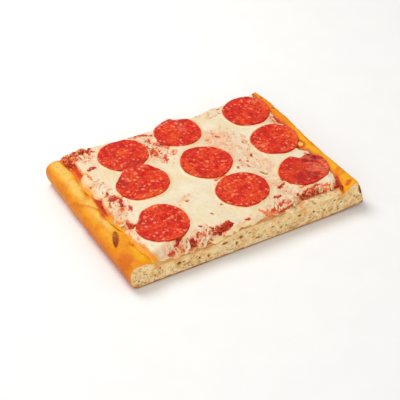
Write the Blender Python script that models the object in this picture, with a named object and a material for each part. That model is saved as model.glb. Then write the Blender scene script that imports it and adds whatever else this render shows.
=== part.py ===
"""Pepperoni pizza slice: a rectangular piece of thick pan pizza, baked along two sides and cut along two.

The baked rims are at -X, where the crust is broad, and at +X, where it is narrow. The cut faces are at
-Y, the front, and +Y, the back. The dough lies on its flat bottom at z = 0. Sauce and cheese lie over it
from one rim to the other and from one cut to the other, and nine round slices of pepperoni lie on top.
"""

import math

import bmesh
import bpy

MM = 0.001

# The whole piece
SLICE_WIDTH = 217.8 * MM  # along X, from the outside of one baked rim to the other
FRONT_Y = -78.2 * MM  # the front cut
BACK_Y = 77.2 * MM  # the back cut
GAP = 0.32 * MM  # clearance between touching layers

# Dough
BED_HEIGHT = 20.6 * MM  # the dough under the toppings
LEFT_CREST_HEIGHT = 22.4 * MM
LEFT_BULGE_HEIGHT = 13.5 * MM  # where the left side stands out most
LEFT_CREST_IN = 8.2 * MM  # from the left side to the middle of the broad crest
LEFT_FOOT_IN = 9.0 * MM  # from the left side to the edge of the flat bottom
LEFT_CREST_WIDTH = 3.0 * MM
RIGHT_CREST_HEIGHT = 26.0 * MM
RIGHT_CREST_X = 100.5 * MM
RIGHT_SHOULDER_DROP = 2.2 * MM
RIGHT_SHOULDER_OUT = 3.0 * MM
RIGHT_TOE_RISE = 1.2 * MM
RIGHT_FOOT_X = 108.2 * MM
CORNER_FOOT_OUT = 2.3 * MM  # the foot spreads at the front right corner
CORNER_BULGE = 2.4 * MM  # the side swells just behind the front right corner
RIGHT_INNER_SLOPE = 12.0 * MM
CORNER_LIFT = 1.8 * MM  # the front right corner of the bottom curls up
FRONT_DROOP = 5.0 * MM  # the knife presses the front left edge of the dough down
DROOP_REACH = 11.0 * MM
BACK_DROOP = 1.6 * MM  # and the middle of the back edge, less
BACK_DROOP_REACH = 9.0 * MM

# Sauce and cheese
SAUCE_THICKNESS = 1.3 * MM
SHEET_EDGE = 0.6 * MM  # how thick a sheet still is at its rim
TOPPING_HEIGHT = 25.3 * MM  # the top of the cheese away from the edges
CHEESE_IN = 3.2 * MM  # how far the cheese stops short of the sauce at each side
CHEESE_SHOULDER = 8.0 * MM  # how far in from its edge the cheese reaches its full height
FRONT_BARE_STRIP = 6.2 * MM  # how far the toppings stop short of the front cut on the right

# Pepperoni
PEPPERONI_THICKNESS = 1.6 * MM
PEPPERONI_DIAMETER = 44.0 * MM
LIFT_SPREAD = 70.0  # degrees to each side over which a curled edge dies out
LIFT_START = 0.35  # the share of the way from the centre where it starts to rise
OVERLAP_RAMP = 9.0 * MM  # how far a slice takes to come down from the one under it
OVERLAP_MARGIN = 4.5 * MM
REST_REACH = 3.5 * MM  # how far around a place the food is looked at for what lies on it
PEPPERONI_EDGE_IN = 0.02  # how much narrower its top is than its underside
PEPPERONI_RINGS = 3
PEPPERONI_SECTORS = 32

# Mesh
SIDE_STEPS = 5
BED_COLUMNS = 18
BED_ROWS = 12
BOTTOM_STEPS = 6


def clamp(value):
    return min(max(value, 0.0), 1.0)


def smooth(value):
    t = clamp(value)
    return t * t * (3.0 - 2.0 * t)


def mix(start, end, share):
    return start + (end - start) * share


def ripple(x, y, length, turn):
    """A wave from -1 to 1 across the piece, with crests this far apart, running in this direction."""
    along = x * math.cos(turn) + y * math.sin(turn)
    return math.sin(math.tau * along / length)


def bump(value, centre, half_width):
    """Rises from 0 to 1 at the centre and back to 0 at half a width to each side."""
    return smooth(1.0 - abs(value - centre) / half_width)


# Edges seen from above


def left_side(y):
    return -SLICE_WIDTH / 2 + 0.7 * MM * (1.0 - math.cos(math.pi * (y + 25 * MM) / (100 * MM)))


def left_crest(y):
    return left_side(y) + LEFT_CREST_IN


def right_crest(y):
    wave = 0.8 * MM * math.cos(math.tau * (y + 70 * MM) / (118 * MM))
    return RIGHT_CREST_X + wave - 1.8 * MM * smooth((y - 60 * MM) / (17 * MM))


def right_foot(y):
    spread = CORNER_FOOT_OUT * smooth((-50 * MM - y) / (24 * MM))
    return RIGHT_FOOT_X + spread - 1.6 * MM * smooth((y - 50 * MM) / (27 * MM))


def sauce_left(y):
    widening = 3.4 * MM * smooth((-15 * MM - y) / (25 * MM))
    front_widening = 3.0 * MM * smooth((-58 * MM - y) / (20 * MM))
    return -94.2 * MM + widening + front_widening + 0.7 * MM * math.sin(y / (7 * MM))


def sauce_right(y):
    bubble = 4.0 * MM * bump(y, -9 * MM, 10 * MM)
    front_widening = 5.5 * MM * smooth((-60 * MM - y) / (18 * MM))
    return mix(93.5, 96.0, smooth(y / (12 * MM))) * MM - bubble - front_widening


def cheese_left(y):
    return sauce_left(y) + CHEESE_IN + 1.2 * MM * math.sin(y / (9 * MM) + 1.0)


def cheese_right(y):
    return sauce_right(y) - CHEESE_IN


def sauce_front(x):
    return FRONT_Y + 0.4 * MM + FRONT_BARE_STRIP * smooth((x - 25 * MM) / (25 * MM))


def cheese_front(x):
    return sauce_front(x) + 1.6 * MM + 0.8 * MM * math.sin(x / (8 * MM))


def sauce_back(x):
    return BACK_Y - 0.4 * MM


def cheese_back(x):
    return sauce_back(x) - 1.0 * MM - 0.5 * MM * math.sin(x / (11 * MM))


# Heights


def front_droop(x, y):
    """1 at the front cut on the left, where the knife pressed the piece down, and 0 away from it."""
    across = smooth((x + 92 * MM) / (14 * MM)) * smooth((-8 * MM - x) / (28 * MM))
    return across * smooth((FRONT_Y + DROOP_REACH - y) / DROOP_REACH)


def back_droop(x, y):
    """1 at the middle of the back cut and 0 away from it."""
    across = smooth((x + 52 * MM) / (16 * MM)) * smooth((54 * MM - x) / (16 * MM))
    return across * smooth((y - BACK_Y + BACK_DROOP_REACH) / BACK_DROOP_REACH)


def bed(x, y):
    unevenness = 0.35 * MM * (ripple(x, y, 61 * MM, 0.7) + ripple(x, y, 47 * MM, 2.2))
    height = BED_HEIGHT + unevenness + 0.5 * MM * smooth(x / (60 * MM))
    return height - FRONT_DROOP * front_droop(x, y) - BACK_DROOP * back_droop(x, y)


def left_crest_height(y):
    return LEFT_CREST_HEIGHT + 0.35 * MM * math.sin(y / (17 * MM))


def right_crest_height(y):
    return RIGHT_CREST_HEIGHT + 0.4 * MM * math.sin(y / (13 * MM) + 0.5)


def dough_top(x, y):
    """The upper surface of the dough between the two crests."""
    inner_left = left_crest(y) + LEFT_CREST_WIDTH
    left_share = smooth((x - inner_left) / (sauce_left(y) + CHEESE_IN - inner_left))
    height = mix(left_crest_height(y), bed(x, y), left_share)
    right_share = smooth((x - right_crest(y) + RIGHT_INNER_SLOPE) / RIGHT_INNER_SLOPE)
    return mix(height, right_crest_height(y), right_share)


def sauce_top(x, y):
    edge = min(x - sauce_left(y), sauce_right(y) - x)
    thickness = mix(SHEET_EDGE, SAUCE_THICKNESS, smooth(edge / (4 * MM)))
    return dough_top(x, y) + GAP + thickness


def cheese_top(x, y):
    low = sauce_top(x, y) + GAP + SHEET_EDGE
    unevenness = 0.3 * MM * (ripple(x, y, 53 * MM, 1.2) + ripple(x, y, 38 * MM, 2.9))
    front_drop = 1.0 * MM * smooth(1.0 - (y - FRONT_Y) / (8 * MM))
    back_drop = 0.6 * MM * smooth(1.0 - (BACK_Y - y) / (5 * MM))
    pressed = (FRONT_DROOP + 0.6 * MM) * front_droop(x, y)
    pressed += (BACK_DROOP + 1.6 * MM) * back_droop(x, y)
    full = TOPPING_HEIGHT + unevenness - front_drop - back_drop - pressed
    edge = min(x - cheese_left(y), cheese_right(y) - x)
    return mix(low, max(full, low), smooth(edge / CHEESE_SHOULDER))


def food_top(x, y):
    """The highest surface at a place, for what lies on top of it."""
    y = min(max(y, FRONT_Y), BACK_Y)
    if cheese_left(y) <= x <= cheese_right(y):
        return cheese_top(x, y)
    if sauce_left(y) <= x <= sauce_right(y):
        return sauce_top(x, y)
    return dough_top(x, y)


# The grid that dough, sauce and cheese share, so that their surfaces stay parallel


def bed_column(index, y):
    """x of one of the grid's columns: first the edges of sauce and cheese, then even steps between them."""
    last = BED_COLUMNS + 3
    if index == 0:
        return sauce_left(y)
    if index == last:
        return sauce_right(y)
    return mix(cheese_left(y), cheese_right(y), (index - 1) / (last - 2))


def row(index, x):
    """y of one of the grid's rows: the front cut, the front edges, three close rows, even steps, the back."""
    first = cheese_front(x)
    close = 3.5 * MM
    last = BED_ROWS + 8
    edges = {
        0: FRONT_Y,
        1: sauce_front(x),
        2: first,
        last: BACK_Y,
        last - 1: sauce_back(x),
        last - 2: cheese_back(x),
    }
    if index in edges:
        return edges[index]
    if index <= 5:
        return first + close * (index - 2)
    return mix(first + 3 * close, cheese_back(x), (index - 5) / (last - 7))


COLUMNS = BED_COLUMNS + 4
ROWS = BED_ROWS + 9


def grid_place(column, index):
    nominal_x = bed_column(column, 0.0)
    y = row(index, nominal_x)
    return bed_column(column, y), y


# Meshes


def plain_material(name, red, green, blue, roughness):
    material = bpy.data.materials.new(name)
    material.use_nodes = True
    shader = material.node_tree.nodes["Principled BSDF"]
    shader.inputs["Base Color"].default_value = (red, green, blue, 1.0)
    shader.inputs["Roughness"].default_value = roughness
    shader.inputs["Metallic"].default_value = 0.0
    return material


def add_object(name, bm, material):
    bmesh.ops.recalc_face_normals(bm, faces=bm.faces)
    mesh = bpy.data.meshes.new(name)
    bm.to_mesh(mesh)
    bm.free()
    mesh.materials.append(material)
    mesh.shade_smooth()
    mesh.set_sharp_from_angle(angle=math.radians(50))
    piece = bpy.data.objects.new(name, mesh)
    bpy.context.scene.collection.objects.link(piece)
    return piece


def stitch(bm, first, second, closed):
    """Quads, cut into triangles, between two rows of vertices that pair up."""
    count = len(first) if closed else len(first) - 1
    for index in range(count):
        after = (index + 1) % len(first)
        bm.faces.new((first[index], first[after], second[after]))
        bm.faces.new((first[index], second[after], second[index]))


def bottom_height(x, y):
    """The bottom is flat but for its front right corner."""
    return CORNER_LIFT * smooth((x - 70 * MM) / (38 * MM)) * smooth((-45 * MM - y) / (33 * MM))


def dough_section(index):
    """One closed line of points round the dough, from the left foot over the top and back underneath."""
    points = []

    def add(nominal_x, place):
        y = row(index, nominal_x)
        x, z = place(y)
        points.append((x, y, z))

    for step in range(SIDE_STEPS):
        angle = math.pi / 2 * step / SIDE_STEPS
        out = math.sin(angle) ** 0.9
        up = 1.0 - math.cos(angle) ** 0.9
        add(left_side(0.0), lambda y: (left_side(y) + LEFT_FOOT_IN * (1.0 - out), LEFT_BULGE_HEIGHT * up))
    for step in range(SIDE_STEPS):
        angle = math.pi / 2 * step / SIDE_STEPS
        back = 1.0 - math.cos(angle)
        up = math.sin(angle)
        add(
            left_side(0.0),
            lambda y: (
                left_side(y) + LEFT_CREST_IN * back,
                mix(LEFT_BULGE_HEIGHT, left_crest_height(y), up),
            ),
        )
    for offset in (0.0, LEFT_CREST_WIDTH):
        add(left_crest(0.0), lambda y: (left_crest(y) + offset, left_crest_height(y)))
    for column in range(COLUMNS):
        x, y = grid_place(column, index)
        points.append((x, y, dough_top(x, y)))
    for share in (0.5, 1.0):
        def inner(y):
            x = mix(sauce_right(y), right_crest(y), share)
            return x, dough_top(x, y)

        add(right_crest(0.0), inner)

    def shoulder(y):
        return right_crest(y) + RIGHT_SHOULDER_OUT, right_crest_height(y) - RIGHT_SHOULDER_DROP

    add(right_crest(0.0), shoulder)
    for share in (0.35, 0.75, 1.0):
        def side(y):
            top_x, top_z = shoulder(y)
            corner = CORNER_BULGE * bump(y, -72.5 * MM, 5.5 * MM)
            bulge = (0.9 * MM + corner) * math.sin(math.pi * share)
            low = RIGHT_TOE_RISE + bottom_height(right_foot(y), y)
            return mix(top_x, right_foot(y), share) + bulge, mix(top_z, low, share)

        add(right_foot(0.0), side)
    for step in range(BOTTOM_STEPS):
        share = step / BOTTOM_STEPS

        def under(y):
            x = mix(right_foot(y) - 1.5 * MM, left_side(y) + LEFT_FOOT_IN, share)
            return x, bottom_height(x, y)

        add(mix(right_foot(0.0), left_side(0.0), share), under)
    return points


def make_dough(material):
    bm = bmesh.new()
    sections = [[bm.verts.new(point) for point in dough_section(index)] for index in range(ROWS)]
    for first, second in zip(sections, sections[1:]):
        stitch(bm, first, second, closed=True)
    bm.faces.new(sections[0])
    bm.faces.new(sections[-1])
    return add_object("dough", bm, material)


def make_sheet(name, material, inset, under, over):
    """A sheet between two surfaces, over the grid without this many of its outer columns and rows."""
    bm = bmesh.new()
    columns = range(inset, COLUMNS - inset)
    rows = range(inset + 1, ROWS - 1 - inset)

    def layer(height):
        lines = []
        for index in rows:
            places = [grid_place(column, index) for column in columns]
            lines.append([bm.verts.new((x, y, height(x, y))) for x, y in places])
        return lines

    low = layer(under)
    high = layer(over)
    for lines in (low, high):
        for first, second in zip(lines, lines[1:]):
            stitch(bm, first, second, closed=False)

    def rim(lines):
        right = [line[-1] for line in lines[1:-1]]
        left = [line[0] for line in lines[1:-1]]
        return lines[0] + right + lines[-1][::-1] + left[::-1]

    stitch(bm, rim(low), rim(high), closed=True)
    return add_object(name, bm, material)


# Pepperoni. Each has the place of its centre in mm, its size against the usual diameter, how much longer
# it is along its turn, and that turn in degrees. A dent is a direction in degrees, a depth as a share of
# the radius and a half width in degrees. A lift is a direction in degrees and a height in mm.


def slice_shape(x, y, size, long, turn, dent, lift=(0, 0.0)):
    return {"x": x * MM, "y": y * MM, "size": size, "long": long, "turn": turn, "dent": dent, "lift": lift}


PEPPERONI = {
    "pepperoni_1": slice_shape(-47.0, 50.2, 0.985, 0.02, 40, (225, 0.03, 40)),
    "pepperoni_2": slice_shape(-50.8, 8.8, 1.01, 0.03, 10, (135, 0.09, 45)),
    "pepperoni_3": slice_shape(-61.6, -45.4, 1.02, 0.03, 60, (141, 0.13, 34)),
    "pepperoni_4": slice_shape(9.0, 57.6, 0.94, 0.02, 90, (62, 0.07, 22), (85, 2.2)),
    "pepperoni_5": slice_shape(9.0, 7.6, 1.01, 0.02, 110, (315, 0.04, 40)),
    "pepperoni_6": slice_shape(16.0, -39.4, 1.01, 0.02, 30, (225, 0.03, 30)),
    "pepperoni_7": slice_shape(76.8, 54.8, 0.97, 0.03, 80, (305, 0.04, 35), (20, 0.8)),
    "pepperoni_8": slice_shape(75.4, 6.6, 0.955, 0.03, 60, (180, 0.06, 40), (35, 0.7)),
    "pepperoni_9": slice_shape(73.9, -41.2, 0.95, -0.08, 105, (68, 0.26, 26), (35, 1.6)),
}


def angle_apart(first, second):
    return abs((first - second + 180.0) % 360.0 - 180.0)


def outline_radius(shape, degrees):
    """How far the slice reaches from its centre in this direction."""
    turned = math.radians(degrees - shape["turn"])
    radius = 1.0 + shape["long"] * math.cos(2 * turned) + 0.012 * math.cos(3 * turned + 1.0)
    radius += 0.008 * math.cos(5 * turned)
    direction, depth, half_width = shape["dent"]
    radius -= depth * smooth(1.0 - angle_apart(degrees, direction) / half_width)
    return PEPPERONI_DIAMETER / 2 * shape["size"] * radius


def lift_of(shape, degrees, share):
    """How far a curled edge stands up at this share of the way from the centre."""
    direction, height = shape["lift"]
    nearness = smooth(1.0 - angle_apart(degrees, direction) / LIFT_SPREAD)
    return height * MM * nearness * smooth((share - LIFT_START) / (1.0 - LIFT_START))


def rise_over(under, x, y):
    """How far a slice is lifted at a place where it lies over the one under it, and a little around it."""
    away_x = x - under["x"]
    away_y = y - under["y"]
    reach = outline_radius(under, math.degrees(math.atan2(away_y, away_x)) % 360.0)
    outside = math.hypot(away_x, away_y) - reach
    return (PEPPERONI_THICKNESS + GAP) * smooth(1.0 - (outside - OVERLAP_MARGIN) / OVERLAP_RAMP)


def rest_height(x, y):
    """The lowest height at which a slice clears the food around this place."""
    near = (-REST_REACH, 0.0, REST_REACH)
    return max(food_top(x + dx, y + dy) for dx in near for dy in near) + GAP


def make_pepperoni(name, shape, under, material):
    bm = bmesh.new()
    def vertex(share, degrees, height):
        reach = share * outline_radius(shape, degrees)
        x = shape["x"] + reach * math.cos(math.radians(degrees))
        y = shape["y"] + reach * math.sin(math.radians(degrees))
        z = rest_height(x, y) + lift_of(shape, degrees, share) + height
        if under:
            z += rise_over(under, x, y)
        return bm.verts.new((x, y, z))

    def face(height, edge_in):
        middle = vertex(0.0, 0.0, height)
        rings = []
        for ring in range(1, PEPPERONI_RINGS + 1):
            share = ring / PEPPERONI_RINGS
            if ring == PEPPERONI_RINGS:
                share -= edge_in
            turns = [360.0 * sector / PEPPERONI_SECTORS for sector in range(PEPPERONI_SECTORS)]
            rings.append([vertex(share, turn, height) for turn in turns])
        for sector in range(PEPPERONI_SECTORS):
            after = (sector + 1) % PEPPERONI_SECTORS
            bm.faces.new((middle, rings[0][sector], rings[0][after]))
        for first, second in zip(rings, rings[1:]):
            stitch(bm, first, second, closed=True)
        return rings[-1]

    low = face(0.0, 0.0)
    high = face(PEPPERONI_THICKNESS, PEPPERONI_EDGE_IN)
    stitch(bm, low, high, closed=True)
    return add_object(name, bm, material)


def clear_scene():
    for item in list(bpy.data.objects):
        bpy.data.objects.remove(item)


def main():
    clear_scene()
    crust = plain_material("baked_dough", 0.70, 0.36, 0.09, 0.62)
    sauce = plain_material("tomato_sauce", 0.52, 0.07, 0.02, 0.35)
    cheese = plain_material("melted_cheese", 0.86, 0.76, 0.55, 0.38)
    meat = plain_material("pepperoni", 0.60, 0.04, 0.02, 0.35)
    make_dough(crust)
    make_sheet("sauce", sauce, 0, lambda x, y: dough_top(x, y) + GAP, sauce_top)
    make_sheet("cheese", cheese, 1, lambda x, y: sauce_top(x, y) + GAP, cheese_top)
    for name, shape in PEPPERONI.items():
        under = PEPPERONI["pepperoni_1"] if name == "pepperoni_2" else None
        make_pepperoni(name, shape, under, meat)


main()
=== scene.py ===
import math

import bmesh
import bpy
import numpy as np
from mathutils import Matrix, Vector


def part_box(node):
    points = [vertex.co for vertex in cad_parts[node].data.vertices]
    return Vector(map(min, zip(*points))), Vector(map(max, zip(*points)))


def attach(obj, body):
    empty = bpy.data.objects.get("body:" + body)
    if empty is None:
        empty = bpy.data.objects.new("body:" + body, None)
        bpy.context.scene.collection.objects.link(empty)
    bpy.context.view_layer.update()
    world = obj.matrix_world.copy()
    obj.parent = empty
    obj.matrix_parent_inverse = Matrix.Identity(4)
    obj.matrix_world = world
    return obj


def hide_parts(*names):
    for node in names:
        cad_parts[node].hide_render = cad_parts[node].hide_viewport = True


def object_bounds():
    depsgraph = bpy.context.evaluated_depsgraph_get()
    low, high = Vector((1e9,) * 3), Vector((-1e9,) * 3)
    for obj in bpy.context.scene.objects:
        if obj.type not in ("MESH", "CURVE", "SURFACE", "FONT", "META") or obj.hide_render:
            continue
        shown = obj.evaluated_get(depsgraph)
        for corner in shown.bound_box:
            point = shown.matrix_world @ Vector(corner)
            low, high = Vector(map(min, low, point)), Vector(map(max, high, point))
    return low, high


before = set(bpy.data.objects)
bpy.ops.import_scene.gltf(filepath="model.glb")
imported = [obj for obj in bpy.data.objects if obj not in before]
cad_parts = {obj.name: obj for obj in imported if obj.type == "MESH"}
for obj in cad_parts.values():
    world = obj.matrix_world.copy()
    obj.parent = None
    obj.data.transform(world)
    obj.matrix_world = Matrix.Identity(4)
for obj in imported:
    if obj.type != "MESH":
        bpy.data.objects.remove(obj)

# The looks of a rectangular slice of thick pepperoni pizza. Lengths are in millimetres, as in the part's
# design, and become metres when a mesh is made. A colour is a tuple of numbers from 0 to 255, as on a
# screen, or an array of the linear numbers that Blender works with. The fourth number given to noise and
# rough is the seed of their random bumps.

MM = 0.001
CAD_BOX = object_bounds()
CAD_HIGH_Y = CAD_BOX[1][1] / MM

# ---- Small tools ----


def smooth(value):
    t = np.clip(value, 0, 1)
    return t * t * (3 - 2 * t)


def mix(start, end, share):
    return start + (end - start) * share


def bump(value, centre, half_width):
    """Rises from 0 to 1 at the centre and falls to 0 at half a width to each side."""
    return smooth(1 - np.abs(value - centre) / half_width)


def ripple(x, y, length, turn):
    """A wave from -1 to 1 with crests this far apart, running in this direction."""
    return np.sin(math.tau * (x * math.cos(turn) + y * math.sin(turn)) / length)


LATTICE_CELLS = 256
LATTICES = {}


def noise(x, y, size, seed):
    """Smooth noise from -1 to 1 whose bumps are about this large."""
    if seed not in LATTICES:
        LATTICES[seed] = np.random.default_rng(seed).uniform(-1, 1, (LATTICE_CELLS, LATTICE_CELLS))
    across, along = np.asarray(x, float) / size, np.asarray(y, float) / size
    left, low = np.floor(across).astype(int), np.floor(along).astype(int)
    share_x, share_y = (t**3 * (t * (t * 6 - 15) + 10) for t in (across - left, along - low))
    left, right, low, high = (place % LATTICE_CELLS for place in (left, left + 1, low, low + 1))
    at = LATTICES[seed]
    near, far = mix(at[left, low], at[right, low], share_x), mix(at[left, high], at[right, high], share_x)
    return mix(near, far, share_y)


def rough(x, y, size, seed, layers=3):
    """Noise with finer and fainter noise on top of it."""
    parts = [noise(x + 31.7 * k, y - 17.3 * k, size / 2**k, seed + k) / 2**k for k in range(layers)]
    return sum(parts) / (2 - 0.5 ** (layers - 1))


def warped(x, y, size, reach, seed):
    """The same places pushed about by noise, so that a drawn edge comes out uneven."""
    return x + reach * rough(x, y, size, seed), y + reach * rough(x, y, size, seed + 10)


def linear(colour):
    if not isinstance(colour, tuple):
        return colour
    screen = np.array(colour, float) / 255
    return np.where(screen <= 0.04045, screen / 12.92, ((screen + 0.055) / 1.055) ** 2.4)


def paint(colour, *layers):
    """A base colour with others laid over it in turn, each by an amount for each point."""
    colour = linear(colour)
    for over, amount in layers:
        amount = np.clip(amount, 0, 1)[..., None]
        colour = colour * (1 - amount) + linear(over) * amount
    return colour


def blend(first, second, share):
    """A colour between two others at each point."""
    return mix(linear(first), linear(second), share[..., None])


def segment_distance(x, y, x0, y0, x1, y1):
    """How far each point is from a straight stretch, and how far along the stretch it is, from 0 to 1."""
    run_x, run_y = x1 - x0, y1 - y0
    length = max(run_x**2 + run_y**2, 1e-9)
    along = np.clip(((x - x0) * run_x + (y - y0) * run_y) / length, 0, 1)
    return np.hypot(x - x0 - run_x * along, y - y0 - run_y * along), along


def path_distance(x, y, path):
    """How far each point is from a line of straight stretches."""
    return np.min([segment_distance(x, y, *start, *end)[0] for start, end in zip(path, path[1:])], axis=0)


def marks(x, y, *places):
    """How strongly each point lies in any of these soft-edged strokes, given as x0, y0, x1, y1 and width."""
    strength = np.zeros_like(x)
    for *ends, width in places:
        strength = np.maximum(strength, smooth(1.3 - 1.7 * segment_distance(x, y, *ends)[0] / width))
    return strength


def patches(x, y, places):
    """How strongly each point lies in any of these broad soft patches."""
    strength = np.zeros_like(x)
    for cx, cy, half_x, half_y, amount in places:
        away = np.hypot((x - cx) / half_x, (y - cy) / half_y)
        strength = np.maximum(strength, amount * smooth((1.25 - away) / 0.7))
    return strength


def oval(x, y, cx, cy, long_half, short_half, turn):
    """How far out each point is from an oval's middle, with 1 at its edge."""
    angle = math.radians(turn)
    along = (x - cx) * math.cos(angle) + (y - cy) * math.sin(angle)
    aside = -(x - cx) * math.sin(angle) + (y - cy) * math.cos(angle)
    return np.sqrt((along / long_half) ** 2 + (aside / short_half) ** 2)


# ---- Meshes ----


def grid_index(rows, columns, start=0):
    return start + np.arange(rows * columns).reshape(rows, columns)


def quads(index, flip=False):
    """Four-cornered faces over a grid of point numbers."""
    corners = [index[:-1, :-1], index[:-1, 1:], index[1:, 1:], index[1:, :-1]]
    return np.stack([c.ravel() for c in (corners[::-1] if flip else corners)], axis=1)


def closed_rows(index):
    """A grid of point numbers whose rows come round to their first point again."""
    return np.concatenate([index, index[:, :1]], 1)


def fan(tip, first, second):
    """Triangles from one point to a row of edges, given by the points at their first and second ends."""
    return np.stack([np.full(len(first), tip), first, second], -1)


def zip_loops(first, first_share, second, second_share):
    """Triangles between two closed loops of point numbers, paired up by how far round each point is."""
    faces = []
    a, b = 0, 0
    count_a, count_b = len(first), len(second)
    while a < count_a or b < count_b:
        next_a = first_share[a + 1] if a + 1 < count_a else 1 + first_share[0]
        next_b = second_share[b + 1] if b + 1 < count_b else 1 + second_share[0]
        here_a, here_b = first[a % count_a], second[b % count_b]
        if b >= count_b or (a < count_a and next_a <= next_b):
            faces.append((here_a, first[(a + 1) % count_a], here_b))
            a += 1
        else:
            faces.append((here_a, second[(b + 1) % count_b], here_b))
            b += 1
    return np.array(faces)


def make_piece(name, points, faces, colour, material, slot, replaces=(), smooth_angle=60.0, **values):
    """A mesh of the object, from points in mm, lists of faces, and a colour and other values at each point."""
    mesh = bpy.data.meshes.new(name)
    sizes = np.concatenate([np.full(len(part), part.shape[1]) for part in faces])
    loops = np.concatenate([part.ravel() for part in faces])
    mesh.vertices.add(len(points))
    mesh.vertices.foreach_set("co", (np.asarray(points) * MM).astype(np.float32).ravel())
    mesh.loops.add(len(loops))
    mesh.loops.foreach_set("vertex_index", loops.astype(np.int32))
    mesh.polygons.add(len(sizes))
    mesh.polygons.foreach_set("loop_start", np.concatenate([[0], np.cumsum(sizes)[:-1]]).astype(np.int32))
    mesh.polygons.foreach_set("loop_total", sizes.astype(np.int32))
    mesh.update(calc_edges=True)
    mesh.validate()
    # Every face of a closed mesh points out of it
    shape = bmesh.new()
    shape.from_mesh(mesh)
    bmesh.ops.recalc_face_normals(shape, faces=shape.faces)
    shape.to_mesh(mesh)
    shape.free()
    shade = np.ones((len(points), 4), np.float32)
    shade[:, :3] = colour
    mesh.color_attributes.new("tint", "FLOAT_COLOR", "POINT").data.foreach_set("color", shade.ravel())
    mesh.shade_smooth()
    mesh.set_sharp_from_angle(angle=math.radians(smooth_angle))
    mesh.materials.append(material)
    piece = bpy.data.objects.new(name, mesh)
    bpy.context.scene.collection.objects.link(piece)
    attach(piece, "root")
    if replaces:
        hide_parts(*replaces)
    for key, value in values.items():
        layer = mesh.attributes.new(key, "FLOAT", "POINT")
        layer.data.foreach_set("value", np.asarray(value, np.float32).ravel())


# ---- The design, as in the part: edges seen from above and heights ----

(LEFT_X, FRONT_Y, _), (RIGHT_X, BACK_Y, _) = ([value / MM for value in corner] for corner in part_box("dough"))

BED_HEIGHT = 20.6
LEFT_CREST_HEIGHT = 22.4
LEFT_BULGE_HEIGHT = 13.5
LEFT_CREST_IN = 8.2
LEFT_CREST_WIDTH = 3.0
LEFT_FOOT_IN = 9.0
RIGHT_CREST_HEIGHT = 26.0
RIGHT_CREST_X = 100.5
RIGHT_SHOULDER_DROP = 2.2
RIGHT_SHOULDER_OUT = 3.0
RIGHT_FOOT_X = 108.2
RIGHT_TOE_RISE = 1.2
RIGHT_INNER_SLOPE = 12.0
CORNER_FOOT_OUT = 2.3
CORNER_BULGE = 2.4
CORNER_LIFT = 1.8
FRONT_DROOP = 5.0
DROOP_REACH = 11.0
BACK_DROOP = 1.6
BACK_DROOP_REACH = 9.0
SAUCE_THICKNESS = 1.3
SHEET_EDGE = 0.6
TOPPING_HEIGHT = 25.3
CHEESE_SHOULDER = 8.0
FRONT_BARE_STRIP = 6.2


def left_side(y):
    return LEFT_X + 0.7 * (1 - np.cos(math.pi * (y + 25) / 100))


def left_crest(y):
    return left_side(y) + LEFT_CREST_IN


def right_crest(y):
    return RIGHT_CREST_X + 0.8 * np.cos(math.tau * (y + 70) / 118) - 1.8 * smooth((y - 60) / 17)


def right_foot(y):
    return RIGHT_FOOT_X + CORNER_FOOT_OUT * smooth((-50 - y) / 24) - 1.6 * smooth((y - 50) / 27)


def topping_left(y):
    widening = 3.4 * smooth((-15 - y) / 25) + 3.0 * smooth((-58 - y) / 20)
    return -94.2 + widening + 0.7 * np.sin(y / 7)


def topping_right(y):
    return mix(93.5, 96.0, smooth(y / 12)) - 4.0 * bump(y, -9, 10) - 5.5 * smooth((-60 - y) / 18)


def topping_front(x):
    return FRONT_Y + 0.4 + FRONT_BARE_STRIP * smooth((x - 25) / 25)


def front_droop(x, y):
    return smooth((x + 92) / 14) * smooth((-8 - x) / 28) * smooth((FRONT_Y + DROOP_REACH - y) / DROOP_REACH)


def back_droop(x, y):
    across = smooth((x + 52) / 16) * smooth((54 - x) / 16)
    return across * smooth((y - BACK_Y + BACK_DROOP_REACH) / BACK_DROOP_REACH)


def bed(x, y):
    unevenness = 0.35 * (ripple(x, y, 61, 0.7) + ripple(x, y, 47, 2.2))
    height = BED_HEIGHT + unevenness + 0.5 * smooth(x / 60)
    return height - FRONT_DROOP * front_droop(x, y) - BACK_DROOP * back_droop(x, y)


def left_crest_height(y):
    return LEFT_CREST_HEIGHT + 0.35 * np.sin(y / 17)


def right_crest_height(y):
    return RIGHT_CREST_HEIGHT + 0.4 * np.sin(y / 13 + 0.5)


def dough_top(x, y):
    inner_left = left_crest(y) + LEFT_CREST_WIDTH
    left_share = smooth((x - inner_left) / (topping_left(y) + 3.2 - inner_left))
    height = mix(left_crest_height(y), bed(x, y), left_share)
    right_share = smooth((x - right_crest(y) + RIGHT_INNER_SLOPE) / RIGHT_INNER_SLOPE)
    return mix(height, right_crest_height(y), right_share)


def in_from_sides(x, y):
    return np.minimum(x - topping_left(y), topping_right(y) - x)


def sauce_top(x, y):
    return dough_top(x, y) + mix(SHEET_EDGE, SAUCE_THICKNESS, smooth(in_from_sides(x, y) / 4))


def cheese_level(x, y):
    """The top of the cheese without its fine relief."""
    low = sauce_top(x, y) + SHEET_EDGE
    unevenness = 0.3 * (ripple(x, y, 53, 1.2) + ripple(x, y, 38, 2.9))
    front_drop, back_drop = smooth(1 - (y - FRONT_Y) / 8), 0.6 * smooth(1 - (BACK_Y - y) / 5)
    pressed = (FRONT_DROOP + 0.6) * front_droop(x, y) + (BACK_DROOP + 1.6) * back_droop(x, y)
    full = TOPPING_HEIGHT + unevenness - front_drop - back_drop - pressed
    return mix(low, np.maximum(full, low), smooth(in_from_sides(x, y) / CHEESE_SHOULDER))


def bottom_height(x, y):
    return CORNER_LIFT * smooth((x - 70) / 38) * smooth((-45 - y) / 33)


# ---- Closed sheets: a fine top, a coarse underside and a zip between their borders ----


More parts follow.
